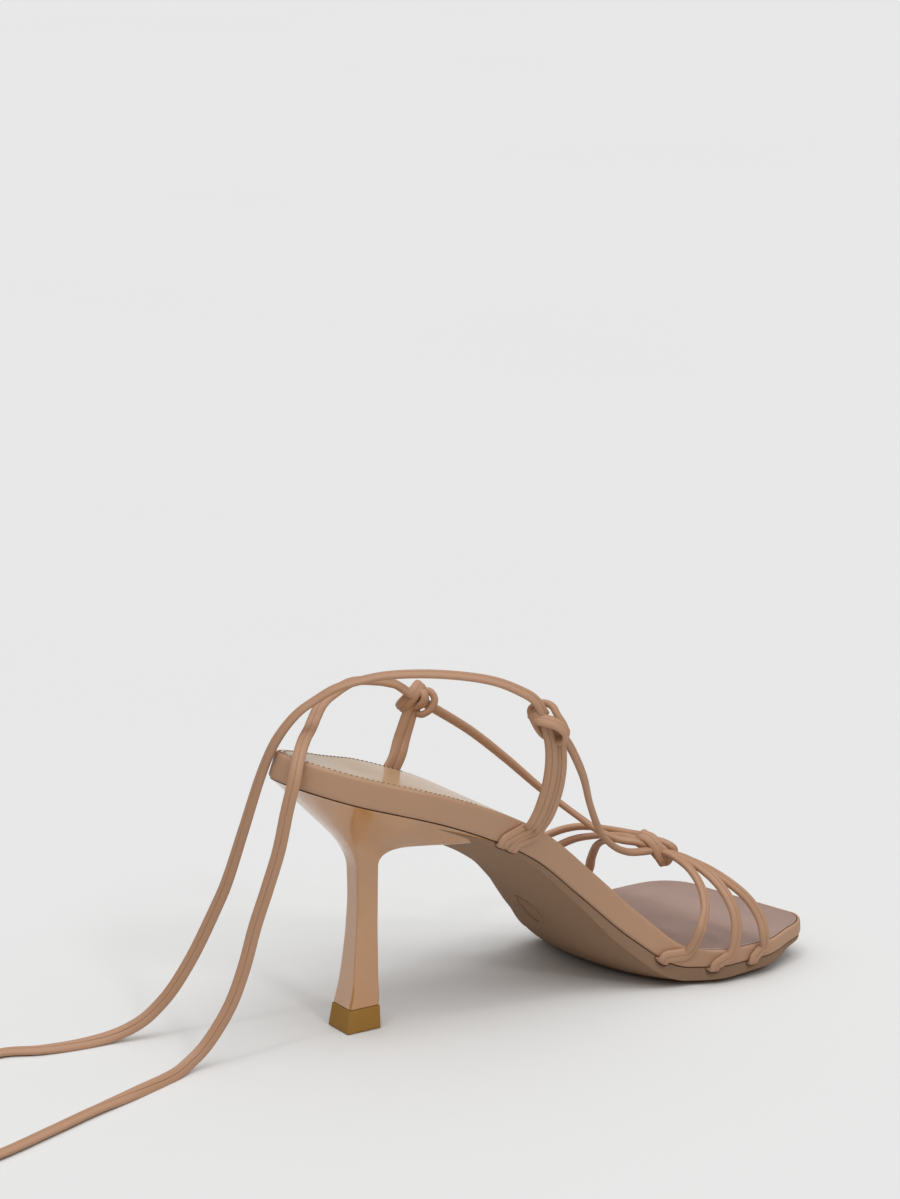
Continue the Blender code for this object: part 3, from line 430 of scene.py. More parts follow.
def smooth(places, values, place):
    """Cubic through the values that never overshoots them."""
    widths = np.diff(places)
    rates = np.diff(values) / widths
    slopes = np.zeros(len(places))
    for k in range(1, len(places) - 1):
        if rates[k - 1] * rates[k] > 0:
            left, right = widths[k - 1], widths[k]
            weights = (2 * right + left, right + 2 * left)
            slopes[k] = sum(weights) / (weights[0] / rates[k - 1] + weights[1] / rates[k])
    slopes[0], slopes[-1] = rates[0], rates[-1]
    k = int(np.clip(np.searchsorted(places, place) - 1, 0, len(places) - 2))
    h = widths[k]
    t = (place - places[k]) / h
    return ((1 + 2 * t) * (1 - t) ** 2 * values[k] + t * (1 - t) ** 2 * h * slopes[k]
            + t * t * (3 - 2 * t) * values[k + 1] + t * t * (t - 1) * h * slopes[k + 1])


TABLE = {name: np.array([row[i] for row in SECTIONS]) for i, name in enumerate(SECTION_COLUMNS)}


@functools.lru_cache(maxsize=None)
def share(name, place):
    """One column of the sole's sections at any place."""
    return float(smooth(TABLE["place"], TABLE[name], place))


def top_height(place):
    """The height of the footbed's top."""
    return BALL_HEIGHT + share("rise", place) * (SEAT_HEIGHT - BALL_HEIGHT)


@functools.lru_cache(maxsize=None)
def up_from(place):
    """The direction square to the footbed's top, in the plane along the foot."""
    low, high = max(place - 0.002, 0.0), min(place + 0.002, 1.0)
    climb = top_height(high) - top_height(low)
    return Vector((0.0, -climb, (high - low) * SOLE_LENGTH)).normalized()


@functools.lru_cache(maxsize=None)
def half_width(side, place, inset):
    """Half the width on one side, rounded round the seat and at the toe's corners."""
    ball = MEDIAL_BALL_HALF if side == "medial" else LATERAL_BALL_HALF
    forward = share("ball", place)
    width = ((1 - forward) * SEAT_HALF_WIDTH + forward * ball) * share(side, place) - inset
    from_back = place * SOLE_LENGTH
    if from_back < SEAT_ROUND:
        reach = (SEAT_ROUND - from_back) / (SEAT_ROUND - inset)
        width *= math.sqrt(max(1 - reach * reach, 0.0))
    corner = TOE_CORNER - inset
    from_toe = (1 - place) * SOLE_LENGTH - inset
    if from_toe < corner:
        width -= corner - math.sqrt(max(corner ** 2 - (corner - from_toe) ** 2, 0.0))
    return width


def sole_point(place, across, inset, depth):
    """A point of the sole. across runs from -1, lateral, to 1, medial."""
    y, z = place * SOLE_LENGTH - HEEL_SETBACK, top_height(place)
    medial = Vector((half_width("medial", place, inset), y, z))
    lateral = Vector((-half_width("lateral", place, inset), y - share("back", place) * LATERAL_SETBACK, z))
    return lateral.lerp(medial, (across + 1) / 2) - up_from(place) * depth


def band(place):
    """The depth of the wrapped band."""
    return BAND_DEPTH * share("band", place)


def rim_stops():
    """Shares of the way from heel to toe, closer where the outline turns."""
    back = [(1 - math.cos(math.pi / 2 * k / 16)) * SEAT_ROUND / SOLE_LENGTH for k in range(17)]
    toe = [1 - (1 - math.cos(math.pi / 2 * k / 8)) * TOE_CORNER / SOLE_LENGTH for k in range(8, -1, -1)]
    return back + list(np.linspace(back[-1], toe[0], RIM_MIDDLE))[1:-1] + toe


def at_share(stop, inset):
    """The place that a rim stop has once the outline is drawn in by an inset."""
    return (inset + stop * (SOLE_LENGTH - 2 * inset)) / SOLE_LENGTH


def ways_across(count):
    """Even steps from -1 to 1."""
    return [2 * k / (count - 1) - 1 for k in range(count)]


def join_round(build, rows):
    """Faces between closed rows that have as many vertices."""
    count = len(rows[0])
    for near, far in zip(rows, rows[1:]):
        for k in range(count):
            build.faces.new((near[k], near[(k + 1) % count], far[(k + 1) % count], far[k]))


def layer_mesh(name, profile, shaded_rows):
    """A closed layer of the sole. profile gives, at any place, the (inset, depth) pairs down its side.

    The rows of the profile named in shaded_rows get painted shade: the dark line of the gap beside the sock.
    """
    stops = rim_stops()
    ways = ways_across(LAYER_COLUMNS)
    rim = [(s, 1) for s in stops] + [(1.0, w) for w in ways[-2:0:-1]] + [(s, -1) for s in stops[:0:-1]]
    insets = [inset for inset, _ in profile(0.5)]
    build = bmesh.new()
    shade = build.verts.layers.float.new("seam")

    def corner(stop, way, j):
        place = at_share(stop, insets[j])
        return build.verts.new(sole_point(place, way, insets[j], profile(place)[j][1]))

    rows = []
    for j in range(len(insets)):
        rows.append([corner(stop, way, j) for stop, way in rim])
        # Mark the rows that get painted shade.
        for vertex in rows[-1]:
            vertex[shade] = 1.0 if j in shaded_rows else 0.0
    join_round(build, rows)
    for j in (0, len(insets) - 1):
        grid = [[corner(stop, way, j) for way in ways] for stop in stops]
        for near, far in zip(grid, grid[1:]):
            for k in range(LAYER_COLUMNS - 1):
                build.faces.new((near[k], near[k + 1], far[k + 1], far[k]))
    return finished(name, build)


def finished(name, build, smooth_under=40.0):
    """A named object from a bmesh, welded, facing outwards and smooth except at sharp edges."""
    bmesh.ops.remove_doubles(build, verts=build.verts, dist=0.000002)
    bmesh.ops.dissolve_degenerate(build, edges=build.edges, dist=0.000002)
    bmesh.ops.recalc_face_normals(build, faces=build.faces)
    mesh = bpy.data.meshes.new(name)
    build.to_mesh(mesh)
    build.free()
    mesh.shade_smooth()
    mesh.set_sharp_from_angle(angle=math.radians(smooth_under))
    thing = bpy.data.objects.new(name, mesh)
    bpy.context.scene.collection.objects.link(thing)
    return thing


def keep_modified(context, thing):
    """Give a piece the mesh that its modifiers make, and clear them."""
    context.view_layer.update()
    graph = context.evaluated_depsgraph_get()
    made = bpy.data.meshes.new_from_object(thing.evaluated_get(graph))
    thing.modifiers.clear()
    thing.data = made
    made.name = thing.name


def curve_through(points, spacing):
    """Even points along a smooth curve through a route's own points."""
    points = [Vector(point) for point in points]
    ends = [points[0] * 2 - points[1]] + points + [points[-1] * 2 - points[-2]]
    fine = []
    for k in range(1, len(ends) - 2):
        before, here, there, after = ends[k - 1:k + 3]
        for step in range(12):
            t = step / 12
            pull = (there - before) * t
            bend = (2 * before - 5 * here + 4 * there - after) * t ** 2
            ease = (3 * here - before - 3 * there + after) * t ** 3
            fine.append(here + (pull + bend + ease) / 2)
    fine.append(points[-1])
    lengths = np.cumsum([0.0] + [(b - a).length for a, b in zip(fine, fine[1:])])
    count = max(int(lengths[-1] / spacing) + 1, 4)
    places = np.linspace(0, lengths[-1], count)
    columns = [np.interp(places, lengths, [point[i] for point in fine]) for i in range(3)]
    return [Vector(row) for row in zip(*columns)]


def ring_through(points, count):
    """Even points round a closed smooth curve."""
    loop = [Vector(p) for p in points]
    route = loop[-3:] + loop + loop[:3]
    fine = curve_through(route, 0.0001)
    start = min(range(len(fine) // 2), key=lambda k: (fine[k] - loop[0]).length)
    end = max(range(len(fine) // 2, len(fine)), key=lambda k: -(fine[k] - loop[0]).length)
    picks = np.linspace(start, end, count + 1)[:-1]
    return [fine[int(round(k))] for k in picks]


# Across a strap's section: from one edge to the other and back, as shares of the half width
STRAP_OVER = (1.0, 0.97, 0.88, 0.72, 0.50, 0.28, 0.14, 0.07, 0.03, 0.0, -0.03, -0.07, -0.14, -0.28, -0.50,
              -0.72, -0.88, -0.97, -1.0)
STRAP_UNDER = (-0.97, -0.85, -0.6, -0.3, 0.0, 0.3, 0.6, 0.85, 0.97)


def strap_section(width, thickness, seam):
    """Points round a flat tube's section with the seam's groove along its face and the groove's painted
    shade.
    """
    points = []
    for x in STRAP_OVER:
        crown = (1 - abs(x) ** 2.5) ** (1 / 2.1) if abs(x) < 1 else 0.0
        groove = seam * math.exp(-(x / 0.055) ** 2)
        # The third value is the groove's painted shade.
        points.append((x * width / 2, crown * thickness / 2 - groove, math.exp(-(x / 0.05) ** 2)))
    for x in STRAP_UNDER:
        crown = (1 - abs(x) ** 2.5) ** (1 / 2.1)
        points.append((x * width / 2, -crown * thickness / 2, 0.0))
    return points


def sweep(name, strips):
    """A mesh of flat tubes.

    A strip has points, facing directions, widths, thicknesses, the depth of its seam and whether it closes.
    """
    verts, faces, seam_shades, wraps = [], [], [], []
    for points, facings, widths, thicknesses, seam, closed in strips:
        count = len(points)
        first = len(verts)
        travelled = 0.0
        size = len(STRAP_OVER) + len(STRAP_UNDER)
        for k, point in enumerate(points):
            before = points[k - 1] if closed or k else points[0]
            after = points[(k + 1) % count] if closed or k < count - 1 else points[-1]
            way = (after - before).normalized()
            face = (facings[k] - way * facings[k].dot(way)).normalized()
            side = way.cross(face)
            if k:
                travelled += (point - points[k - 1]).length
            for x, y, groove in strap_section(widths[k], thicknesses[k], seam):
                verts.append(point + side * x + face * y)
                seam_shades.append(groove)
                wraps.append((x / WRAP_SCALE, travelled / WRAP_SCALE))
        laps = count if closed else count - 1
        for k in range(laps):
            low, high = first + k * size, first + ((k + 1) % count) * size
            for j in range(size):
                turn = (j + 1) % size
                faces.append((low + j, low + turn, high + turn, high + j))
        if not closed:
            for k, bulge in ((0, 1), (count - 1, -1)):
                tip = len(verts)
                inward = points[1] - points[0] if k == 0 else points[-1] - points[-2]
                verts.append(points[k] - inward.normalized() * bulge * thicknesses[k] * 0.3)
                seam_shades.append(0.0)
                wraps.append((0.0, travelled / WRAP_SCALE if k else 0.0))
                low = first + k * size
                for j in range(size):
                    pair = (low + (j + 1) % size, low + j) if k == 0 else (low + j, low + (j + 1) % size)
                    faces.append((*pair, tip))
    mesh = bpy.data.meshes.new(name)
    mesh.from_pydata(verts, [], faces)
    # The seam attribute carries each strip's groove for painted shade.
    seam_shade_layer = mesh.attributes.new("seam", "FLOAT", "POINT")
    seam_shade_layer.data.foreach_set("value", seam_shades)
    uv = mesh.uv_layers.new(name="Strap")
    for loop in mesh.loops:
        uv.data[loop.index].uv = wraps[loop.vertex_index]
    build = bmesh.new()
    build.from_mesh(mesh)
    bmesh.ops.recalc_face_normals(build, faces=build.faces)
    build.to_mesh(mesh)
    build.free()
    mesh.shade_smooth()
    thing = bpy.data.objects.new(name, mesh)
    bpy.context.scene.collection.objects.link(thing)
    return thing


def turned_foot(side, low):
    """Facing directions for the points of a foot: outward, round the corner and down under the band."""
    out, down = Vector((side_sign(side), 0.0, 0.0)), -up_from(low)
    return [out, out, out, (out + down).normalized(), down, down]


def guided(points, facings, spacing):
    """A smooth route with a facing direction at each of its points."""
    route = curve_through(points, spacing)
    lengths = np.cumsum([0.0] + [(b - a).length for a, b in zip(points, points[1:])])
    shares = lengths / lengths[-1]
    steps = np.linspace(0, 1, len(route))
    columns = [np.interp(steps, shares, [way[i] for way in facings]) for i in range(3)]
    return route, [Vector(row).normalized() for row in zip(*columns)]


def smooth_step(share_there):
    """0 to 1 with level ends."""
    t = min(max(share_there, 0.0), 1.0)
    return t * t * (3 - 2 * t)


def eased(values, count):
    """Values along a strip, eased from stop to stop."""
    stops = np.linspace(0, 1, len(values))
    return [float(smooth(stops, np.array(values), t)) for t in np.linspace(0, 1, count)]


def facing_between(stops, count):
    """Facing directions along a strip from a few stops."""
    shares = [stop for stop, _ in stops]
    columns = [np.interp(np.linspace(0, 1, count), shares, [way[i] for _, way in stops]) for i in range(3)]
    return [Vector(row).normalized() for row in zip(*columns)]


def side_sign(side):
    """+1 on the medial side and -1 on the lateral side."""
    return 1 if side == "medial" else -1


def instep_point(row):
    """A point over the forefoot from its shares."""
    across, forward, up = row
    ball = MEDIAL_BALL_HALF if across >= 0 else LATERAL_BALL_HALF
    return Vector((across * ball, forward * (SOLE_LENGTH - HEEL_SETBACK), up * INSTEP_HEIGHT))


def strap_point(side, row):
    """A point of a forefoot strap on its own side."""
    across, forward, up = row
    return instep_point((across * side_sign(side), forward, up))


def knot_point(side, row):
    """The middle of a side knot."""
    across, forward, up = row
    ball = MEDIAL_BALL_HALF if side == "medial" else LATERAL_BALL_HALF
    return Vector((side_sign(side) * across * ball, forward * (SOLE_LENGTH - HEEL_SETBACK), up * KNOT_HEIGHT))


def loop_point(side, row, apart):
    """A point of a side loop's strand, apart from the loop's middle along the foot."""
    out, forward, up = row
    y = forward * (SOLE_LENGTH - HEEL_SETBACK) + apart
    return Vector((side_sign(side) * out * SEAT_HALF_WIDTH, y, up * KNOT_HEIGHT))


def foot(side, high, low, off, shift=0.0):
    """The end of a strap: aslant down the band's side and tucked in under it."""
    high += shift / SOLE_LENGTH
    low += shift / SOLE_LENGTH
    way = side_sign(side)
    middle = (high + low) / 2
    depth = band(low)
    return [sole_point(high, way, -off, 0.15 * depth), sole_point(middle, way, -off, 0.5 * depth),
            sole_point(low, way, -off, 0.85 * depth), sole_point(low, way, -0.7 * off, depth + 0.70 * off),
            sole_point(low, way, 0.1 * off, depth + off), sole_point(low, way, TUCK, depth + off)]


def node(tree, kind, **values):
    """A node with its settings, and its inputs by name or number."""
    made = tree.nodes.new(kind)
    for key, value in values.items():
        if key.startswith("in_"):
            name = key[3:].replace("_", " ")
            made.inputs[int(name) if name.isdigit() else name].default_value = value
        else:
            setattr(made, key, value)
    return made


def wire(tree, *links):
    """Link nodes. A link is the giving node and its output, the taking node and its input."""
    for giver, output, taker, entry in links:
        tree.links.new(giver.outputs[output], taker.inputs[entry])


def own_group(name, inputs, output, kind):
    """A new shader node group with its inputs and one output, and the nodes at its two ends."""
    tree = bpy.data.node_groups.new(name, "ShaderNodeTree")
    for title, value in inputs:
        socket_type = "NodeSocketFloat" if isinstance(value, float) else "NodeSocketColor"
        tree.interface.new_socket(title, in_out="INPUT", socket_type=socket_type).default_value = value
    tree.interface.new_socket(output, in_out="OUTPUT", socket_type=kind)
    return tree, node(tree, "NodeGroupInput"), node(tree, "NodeGroupOutput")


def tone_drift(name):
    """Shader group: a base colour that drifts to a deeper one in soft clouds."""
    inputs = (("Colour", (0.5, 0.3, 0.2, 1)), ("Deep Colour", (0.4, 0.2, 0.1, 1)), ("Cloud Scale", 40.0),
              ("Amount", 0.6))
    tree, source, result = own_group(name, inputs, "Colour", "NodeSocketColor")
    place = node(tree, "ShaderNodeTexCoord")
    cloud = node(tree, "ShaderNodeTexNoise", in_Detail=3.0, in_Roughness=0.55)
    spread = node(tree, "ShaderNodeMapRange", in_From_Min=0.36, in_From_Max=0.66)
    times = node(tree, "ShaderNodeMath", operation="MULTIPLY")
    mix = node(tree, "ShaderNodeMix", data_type="RGBA")
    wire(tree, (place, "Object", cloud, "Vector"), (source, "Cloud Scale", cloud, "Scale"),
         (cloud, "Fac", spread, "Value"), (spread, "Result", times, 0), (source, "Amount", times, 1),
         (times, 0, mix, "Factor"), (source, "Colour", mix, "A"), (source, "Deep Colour", mix, "B"),
         (mix, "Result", result, "Colour"))
    return tree


def fine_scuffs(name):
    """Shader group: roughness that varies with faint scuffs."""
    inputs = (("Roughness", 0.3), ("Scuff", 0.1), ("Scuff Scale", 300.0))
    tree, source, result = own_group(name, inputs, "Roughness", "NodeSocketFloat")
    place = node(tree, "ShaderNodeTexCoord")
    marks = node(tree, "ShaderNodeTexNoise", in_Detail=6.0, in_Roughness=0.7)
    centre = node(tree, "ShaderNodeMath", operation="SUBTRACT", in_1=0.5)
    times = node(tree, "ShaderNodeMath", operation="MULTIPLY")
    add = node(tree, "ShaderNodeMath", operation="ADD", use_clamp=True)
    wire(tree, (place, "Object", marks, "Vector"), (source, "Scuff Scale", marks, "Scale"),
         (marks, "Fac", centre, 0), (centre, 0, times, 0), (source, "Scuff", times, 1),
         (times, 0, add, 0), (source, "Roughness", add, 1), (add, 0, result, "Roughness"))
    return tree


def hide_relief(name):
    """Shader group: the height of fine grain with broad soft ripples below it."""
    inputs = (("Grain Scale", 900.0), ("Grain", 0.2), ("Ripple Scale", 120.0), ("Ripple", 0.6))
    tree, source, result = own_group(name, inputs, "Height", "NodeSocketFloat")
    place = node(tree, "ShaderNodeTexCoord")
    grain = node(tree, "ShaderNodeTexVoronoi", feature="SMOOTH_F1", in_Smoothness=0.6)
    ripple = node(tree, "ShaderNodeTexNoise", in_Detail=2.0)
    fine = node(tree, "ShaderNodeMath", operation="MULTIPLY")
    broad = node(tree, "ShaderNodeMath", operation="MULTIPLY")
    add = node(tree, "ShaderNodeMath", operation="ADD")
    wire(tree, (place, "Object", grain, "Vector"), (place, "Object", ripple, "Vector"),
         (source, "Grain Scale", grain, "Scale"), (source, "Ripple Scale", ripple, "Scale"),
         (grain, "Distance", fine, 0), (source, "Grain", fine, 1), (ripple, "Fac", broad, 0),
         (source, "Ripple", broad, 1), (fine, 0, add, 0), (broad, 0, add, 1), (add, 0, result, "Height"))
    return tree


def place_group(tree, make, **values):
    """A group node in a material with its values. Its group is made on its first use."""
    title = make.__name__.replace("_", " ").title()
    made = tree.nodes.new("ShaderNodeGroup")
    made.node_tree = bpy.data.node_groups.get(title) or make(title)
    for key, value in values.items():
        made.inputs[key.replace("_", " ").title()].default_value = value
    return made


def clouded(tree, colour, deep, clouds):
    """The output of a colour that drifts to a deeper one."""
    scale, amount = clouds
    tone = place_group(tree, tone_drift, colour=(*colour, 1), deep_colour=(*deep, 1), cloud_scale=scale,
                       amount=amount)
    return tone.outputs["Colour"]


def blend_forefoot(tree, back, front):
    """Change from the heel's colour to the forefoot's along the sock: the forefoot's is painted reflection of
    the straps.
    """
    place = node(tree, "ShaderNodeTexCoord")
    split = node(tree, "ShaderNodeSeparateXYZ")
    along = node(tree, "ShaderNodeMapRange", interpolation_type="SMOOTHSTEP", in_From_Min=FOREFOOT_REFLECTION_BLEND[0],
                 in_From_Max=FOREFOOT_REFLECTION_BLEND[1])
    mix = node(tree, "ShaderNodeMix", data_type="RGBA")
    wire(tree, (place, "Object", split, 0), (split, "Y", along, "Value"), (along, "Result", mix, "Factor"))
    tree.links.new(back, mix.inputs["A"])
    tree.links.new(front, mix.inputs["B"])
    return mix.outputs["Result"]


def shade_seam(tree, plain, colour, shares, amount):
    """Paint shade into a colour where the mesh marks its seam: a strap's groove and the gap beside the sock.
    """
    groove = node(tree, "ShaderNodeAttribute", attribute_name="seam")
    times = node(tree, "ShaderNodeMath", operation="MULTIPLY", in_1=amount)
    mix = node(tree, "ShaderNodeMix", data_type="RGBA")
    mix.inputs["B"].default_value = (*(c * s for c, s in zip(colour, shares)), 1)
    wire(tree, (groove, "Fac", times, 0), (times, 0, mix, "Factor"))
    tree.links.new(plain, mix.inputs["A"])
    return mix.outputs["Result"]


def finish(name, colour=None, deep=None):
    """A finish of the table: clouded tone, scuffed roughness and relief under a clear coat.

    Where a material of that name is there already, that one is used as it is. Plain ones for
    patent_strap, patent_wrap, outsole_rubber and lift_rubber are there already.
    """
    if name in bpy.data.materials:
        return bpy.data.materials[name]
    look = FINISHES[name]
    material = bpy.data.materials.new(name)
    material.use_nodes = True
    tree = material.node_tree
    shader = tree.nodes["Principled BSDF"]
    for title, value in zip(("Coat Weight", "Coat Roughness", "Coat IOR"), look["coat"]):
        shader.inputs[title].default_value = value
    if "shine" in look:
        shader.inputs["Specular IOR Level"].default_value = look["shine"]
    colour = look["colour"] if colour is None else colour
    tint = clouded(tree, colour, look["deep"] if deep is None else deep, look["clouds"])
    # The forefoot's colours are painted reflection of the straps in the glossy sock.
    if "forefoot" in look:
        tint = blend_forefoot(tree, tint, clouded(tree, *look["forefoot"], look["clouds"]))
    # Painted shade in a strap's seam groove and in the gap beside the sock.
    if "seam" in look:
        tint = shade_seam(tree, tint, colour, *look["seam"])
    scuff_scale, scuff = look["scuffs"]
    grain_scale, grain, ripple_scale, ripple = look["relief"]
    strength, depth = look["bump"]
    gloss = place_group(tree, fine_scuffs, roughness=look["rough"], scuff=scuff, scuff_scale=scuff_scale)
    height = place_group(tree, hide_relief, grain_scale=grain_scale, grain=grain,
                         ripple_scale=ripple_scale, ripple=ripple)
    raise_it = node(tree, "ShaderNodeBump", in_Strength=strength, in_Distance=depth)
    tree.links.new(tint, shader.inputs["Base Color"])
    wire(tree, (gloss, "Roughness", shader, "Roughness"), (height, "Height", raise_it, "Height"),
         (raise_it, "Normal", shader, "Normal"))
    return material


def dress(thing, material, slot, *nodes):
    """Give a piece its finish, ride it on the body and let it stand for its solids."""
    thing.data.materials.clear()
    thing.data.materials.append(material)
    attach(thing, "root")
    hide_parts(*nodes)


class SANDAL_OT_camera(bpy.types.Operator):
    """Set the camera where the sandal was seen from"""

    bl_idname = "sandal.camera"
    bl_label = "Set Camera"

    def execute(self, context):
        data = bpy.data.cameras.new("studio_camera")
        data.lens = CAMERA_LENS
        data.sensor_width = 36.0
        data.clip_end = 50.0
        camera = bpy.data.objects.new("studio_camera", data)
        context.scene.collection.objects.link(camera)
        turned = Matrix((VIEW_RIGHT, VIEW_UP, VIEW_NEAR)).transposed()
        camera.matrix_world = Matrix.Translation(CAMERA_PLACE) @ turned.to_4x4()
        context.scene.camera = camera
        return {"FINISHED"}


def coil_winding(last, thickness, lying):
    """The turns of a tie's coil on the floor, beyond the last point of its route."""
    centre = last + RUN_OUT_WAY * (RUN_OUT + GAP + COIL_MIDDLE_RADIUS + COIL_BAND / 2)
    turn_in = math.acos(COIL_MIDDLE_RADIUS / (centre - last).length)
    start = math.atan2(-RUN_OUT_WAY.y, -RUN_OUT_WAY.x) - turn_in
    winding = []
    for k in range(COIL_TURNS * COIL_STEPS + 1):
        angle = start - 2 * math.pi * k / COIL_STEPS
        lift = lying + (thickness + STRAP_GAP) * k / COIL_STEPS
        flat = Vector((math.cos(angle), math.sin(angle), 0)) * COIL_MIDDLE_RADIUS
        winding.append(Vector((centre.x + flat.x, centre.y + flat.y, lift)))
    return winding


def tie_route(side, knot, points, lying):
    """A tie's route from inside its knot, settled so that its end lies on the floor."""
    settle = points[-1][2] - lying
    route = [Vector((x, y, z - settle * (1 - smooth_step(z / SETTLE_HEIGHT)))) for x, y, z in points]
    return [knot_point(side, knot).lerp(route[0], KNOT_REACH)] + route


class SANDAL_OT_ties(bpy.types.Operator):
    """Make the two ankle ties with their spare length coiled on the floor"""

    bl_idname = "sandal.ties"
    bl_label = "Make Ties"

    def execute(self, context):
        sizes = context.scene.sandal_sizes
        material = finish("patent_strap", context.scene.sandal_colours.patent)
        for side, knot, points, faces in TIES:
            lying = sizes.tie_thickness / 2 + STRAP_GAP
            winding = coil_winding(Vector(points[-1]), sizes.tie_thickness, lying)
            lead = winding[0] - (winding[1] - winding[0]).normalized() * COIL_LEAD
            lead.z = lying
            route = tie_route(side, knot, points, lying) + [lead]
            whole = curve_through(route + winding, TIE_SPACING)
            count, run = len(whole), len(curve_through(route + winding[:1], TIE_SPACING))
            ways = facing_between(faces, run) + [Vector((0, 0, 1))] * (count - run)
            strip = (whole, ways, [sizes.tie_width] * count, [sizes.tie_thickness] * count,
                     sizes.seam_depth, False)
            tie = sweep(f"{side}_tie", [strip])
            dress(tie, material, "patent_strap", f"tie_{side}", f"tie_{side}_coil")
        return {"FINISHED"}


class SANDAL_OT_footbed(bpy.types.Operator):
    """Make the footbed's patent wrap with its rounded band"""

    bl_idname = "sandal.footbed"
    bl_label = "Make Footbed Wrap"

    def execute(self, context):
        bend = [math.pi / 2 * k / 5 for k in range(6)]
        inner = SOCK_INSET - GAP

        def profile(place):
            depth = band(place)
            lip = [(inner, SOCK_RECESS), (inner, SEAM_DROP), (inner - LIP_STEP, 0.0)]
            over = [(BAND_EDGE * (1 - math.sin(a)), BAND_EDGE * (1 - math.cos(a))) for a in bend]
            under = [(e, depth - d) for e, d in reversed(over)]
            side = [(0.0, BAND_EDGE + (depth - 2 * BAND_EDGE) * t) for t in (0.25, 0.5, 0.75)]
            return lip + over + side + under

        # The recess wall's two rows get painted shade: the dark line in the gap beside the sock.
        wrap = layer_mesh("footbed_wrap", profile, shaded_rows=(0, 1))
        dress(wrap, finish("patent_wrap", context.scene.sandal_colours.wrap), "patent_wrap", "footbed")
        return {"FINISHED"}


class SANDAL_OT_sock(bpy.types.Operator):
    """Make the sock lining with its turned edge"""

    bl_idname = "sandal.sock"
    bl_label = "Make Sock Lining"

    def execute(self, context):
        bottom = SOCK_RECESS - GAP
        top = bottom - SOCK_THICKNESS
        bend = [math.pi / 2 * k / 4 for k in range(5)]
        flat = [(SOCK_INSET + 2 * SOCK_FOLD, top), (SOCK_INSET + SOCK_FOLD, top + SEAM_DROP)]
        over = [(SOCK_INSET + SOCK_EDGE * (1 - math.sin(a)), top + SOCK_EDGE * (1 - math.cos(a)))
                for a in bend]
        side = flat + over + [(SOCK_INSET, bottom)]
        # The rows of the sock's edge that drop into the gap get painted shade.
        sock = layer_mesh("sock_lining", lambda place: side, shaded_rows=(5, 6, 7))
        dress(sock, finish("sock"), "sock_lining", "insole_sock")
        return {"FINISHED"}


class SANDAL_OT_stitches(bpy.types.Operator):
    """Sew the stitch line round the back of the sock lining"""

    bl_idname = "sandal.stitches"
    bl_label = "Sew Stitches"

    def execute(self, context):
        sizes = context.scene.sandal_sizes
        inset = SOCK_INSET + STITCH_INSET
        depth = SOCK_RECESS - GAP - SOCK_THICKNESS + THREAD_DROP
        stops = [s for s in rim_stops() if s < STITCH_REACH]
        walk = [(s, 1) for s in reversed(stops)] + [(s, -1) for s in stops[1:]]
        points = [sole_point(at_share(s, inset), way, inset, depth) for s, way in walk]
        line = bpy.data.meshes.new("stitch_line")
        line.from_pydata(points, [(k, k + 1) for k in range(len(points) - 1)], [])
        thread = bpy.data.objects.new("sock_stitches", line)
        context.scene.collection.objects.link(thread)
        tree = stitch_tree()
        step = thread.modifiers.new("Stitches", "NODES")
        step.node_group = tree
        values = {"Pitch": sizes.stitch_pitch, "Length": sizes.stitch_length,
                  "Thickness": sizes.stitch_thickness, "Thread": finish("thread")}
        for item in tree.interface.items_tree:
            if item.in_out == "INPUT" and item.name in values:
                step[item.identifier] = values[item.name]
        keep_modified(context, thread)
        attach(thread, "root")
        return {"FINISHED"}


def stitch_tree():
    """Geometry Nodes that lay short thread stitches along a line."""
    tree = bpy.data.node_groups.new("Stitches Along Line", "GeometryNodeTree")
    new = tree.interface.new_socket
    new("Line", in_out="INPUT", socket_type="NodeSocketGeometry")
    new("Pitch", in_out="INPUT", socket_type="NodeSocketFloat").default_value = 0.0019
    new("Length", in_out="INPUT", socket_type="NodeSocketFloat").default_value = 0.0012
    new("Thickness", in_out="INPUT", socket_type="NodeSocketFloat").default_value = 0.0003
    new("Thread", in_out="INPUT", socket_type="NodeSocketMaterial")
    new("Stitches", in_out="OUTPUT", socket_type="NodeSocketGeometry")
    source = node(tree, "NodeGroupInput")
    result = node(tree, "NodeGroupOutput")
    to_curve = node(tree, "GeometryNodeMeshToCurve")
    resample = node(tree, "GeometryNodeResampleCurve", mode="LENGTH")
    spots = node(tree, "GeometryNodeCurveToPoints", mode="EVALUATED")
    stitch = node(tree, "GeometryNodeMeshUVSphere", in_Segments=8, in_Rings=6, in_Radius=0.5)
    size = node(tree, "ShaderNodeCombineXYZ")
    lay = node(tree, "GeometryNodeInstanceOnPoints")
    real = node(tree, "GeometryNodeRealizeInstances")
    paint = node(tree, "GeometryNodeSetMaterial")
    soft = node(tree, "GeometryNodeSetShadeSmooth")
    wire(tree, (source, "Line", to_curve, "Mesh"), (to_curve, "Curve", resample, "Curve"),
         (source, "Pitch", resample, "Length"), (resample, "Curve", spots, "Curve"),
         (source, "Thickness", size, "X"), (source, "Thickness", size, "Y"), (source, "Length", size, "Z"),
         (spots, "Points", lay, "Points"), (spots, "Rotation", lay, "Rotation"),
         (stitch, "Mesh", lay, "Instance"), (size, "Vector", lay, "Scale"),
         (lay, "Instances", real, "Geometry"), (real, "Geometry", soft, "Geometry"),
         (soft, "Geometry", paint, "Geometry"), (source, "Thread", paint, "Material"),
         (paint, "Geometry", result, "Stitches"))
    return tree


def outsole_depth(place, way):
    """How far the outsole's underside lies below the footbed's underside."""
    edge = OUTSOLE_EDGE * share("edge", place)
    keel = KEEL_DEPTH * share("keel", place)
    return edge + max(keel - edge, 0.0) * (1 - abs(way) ** KEEL_POWER)


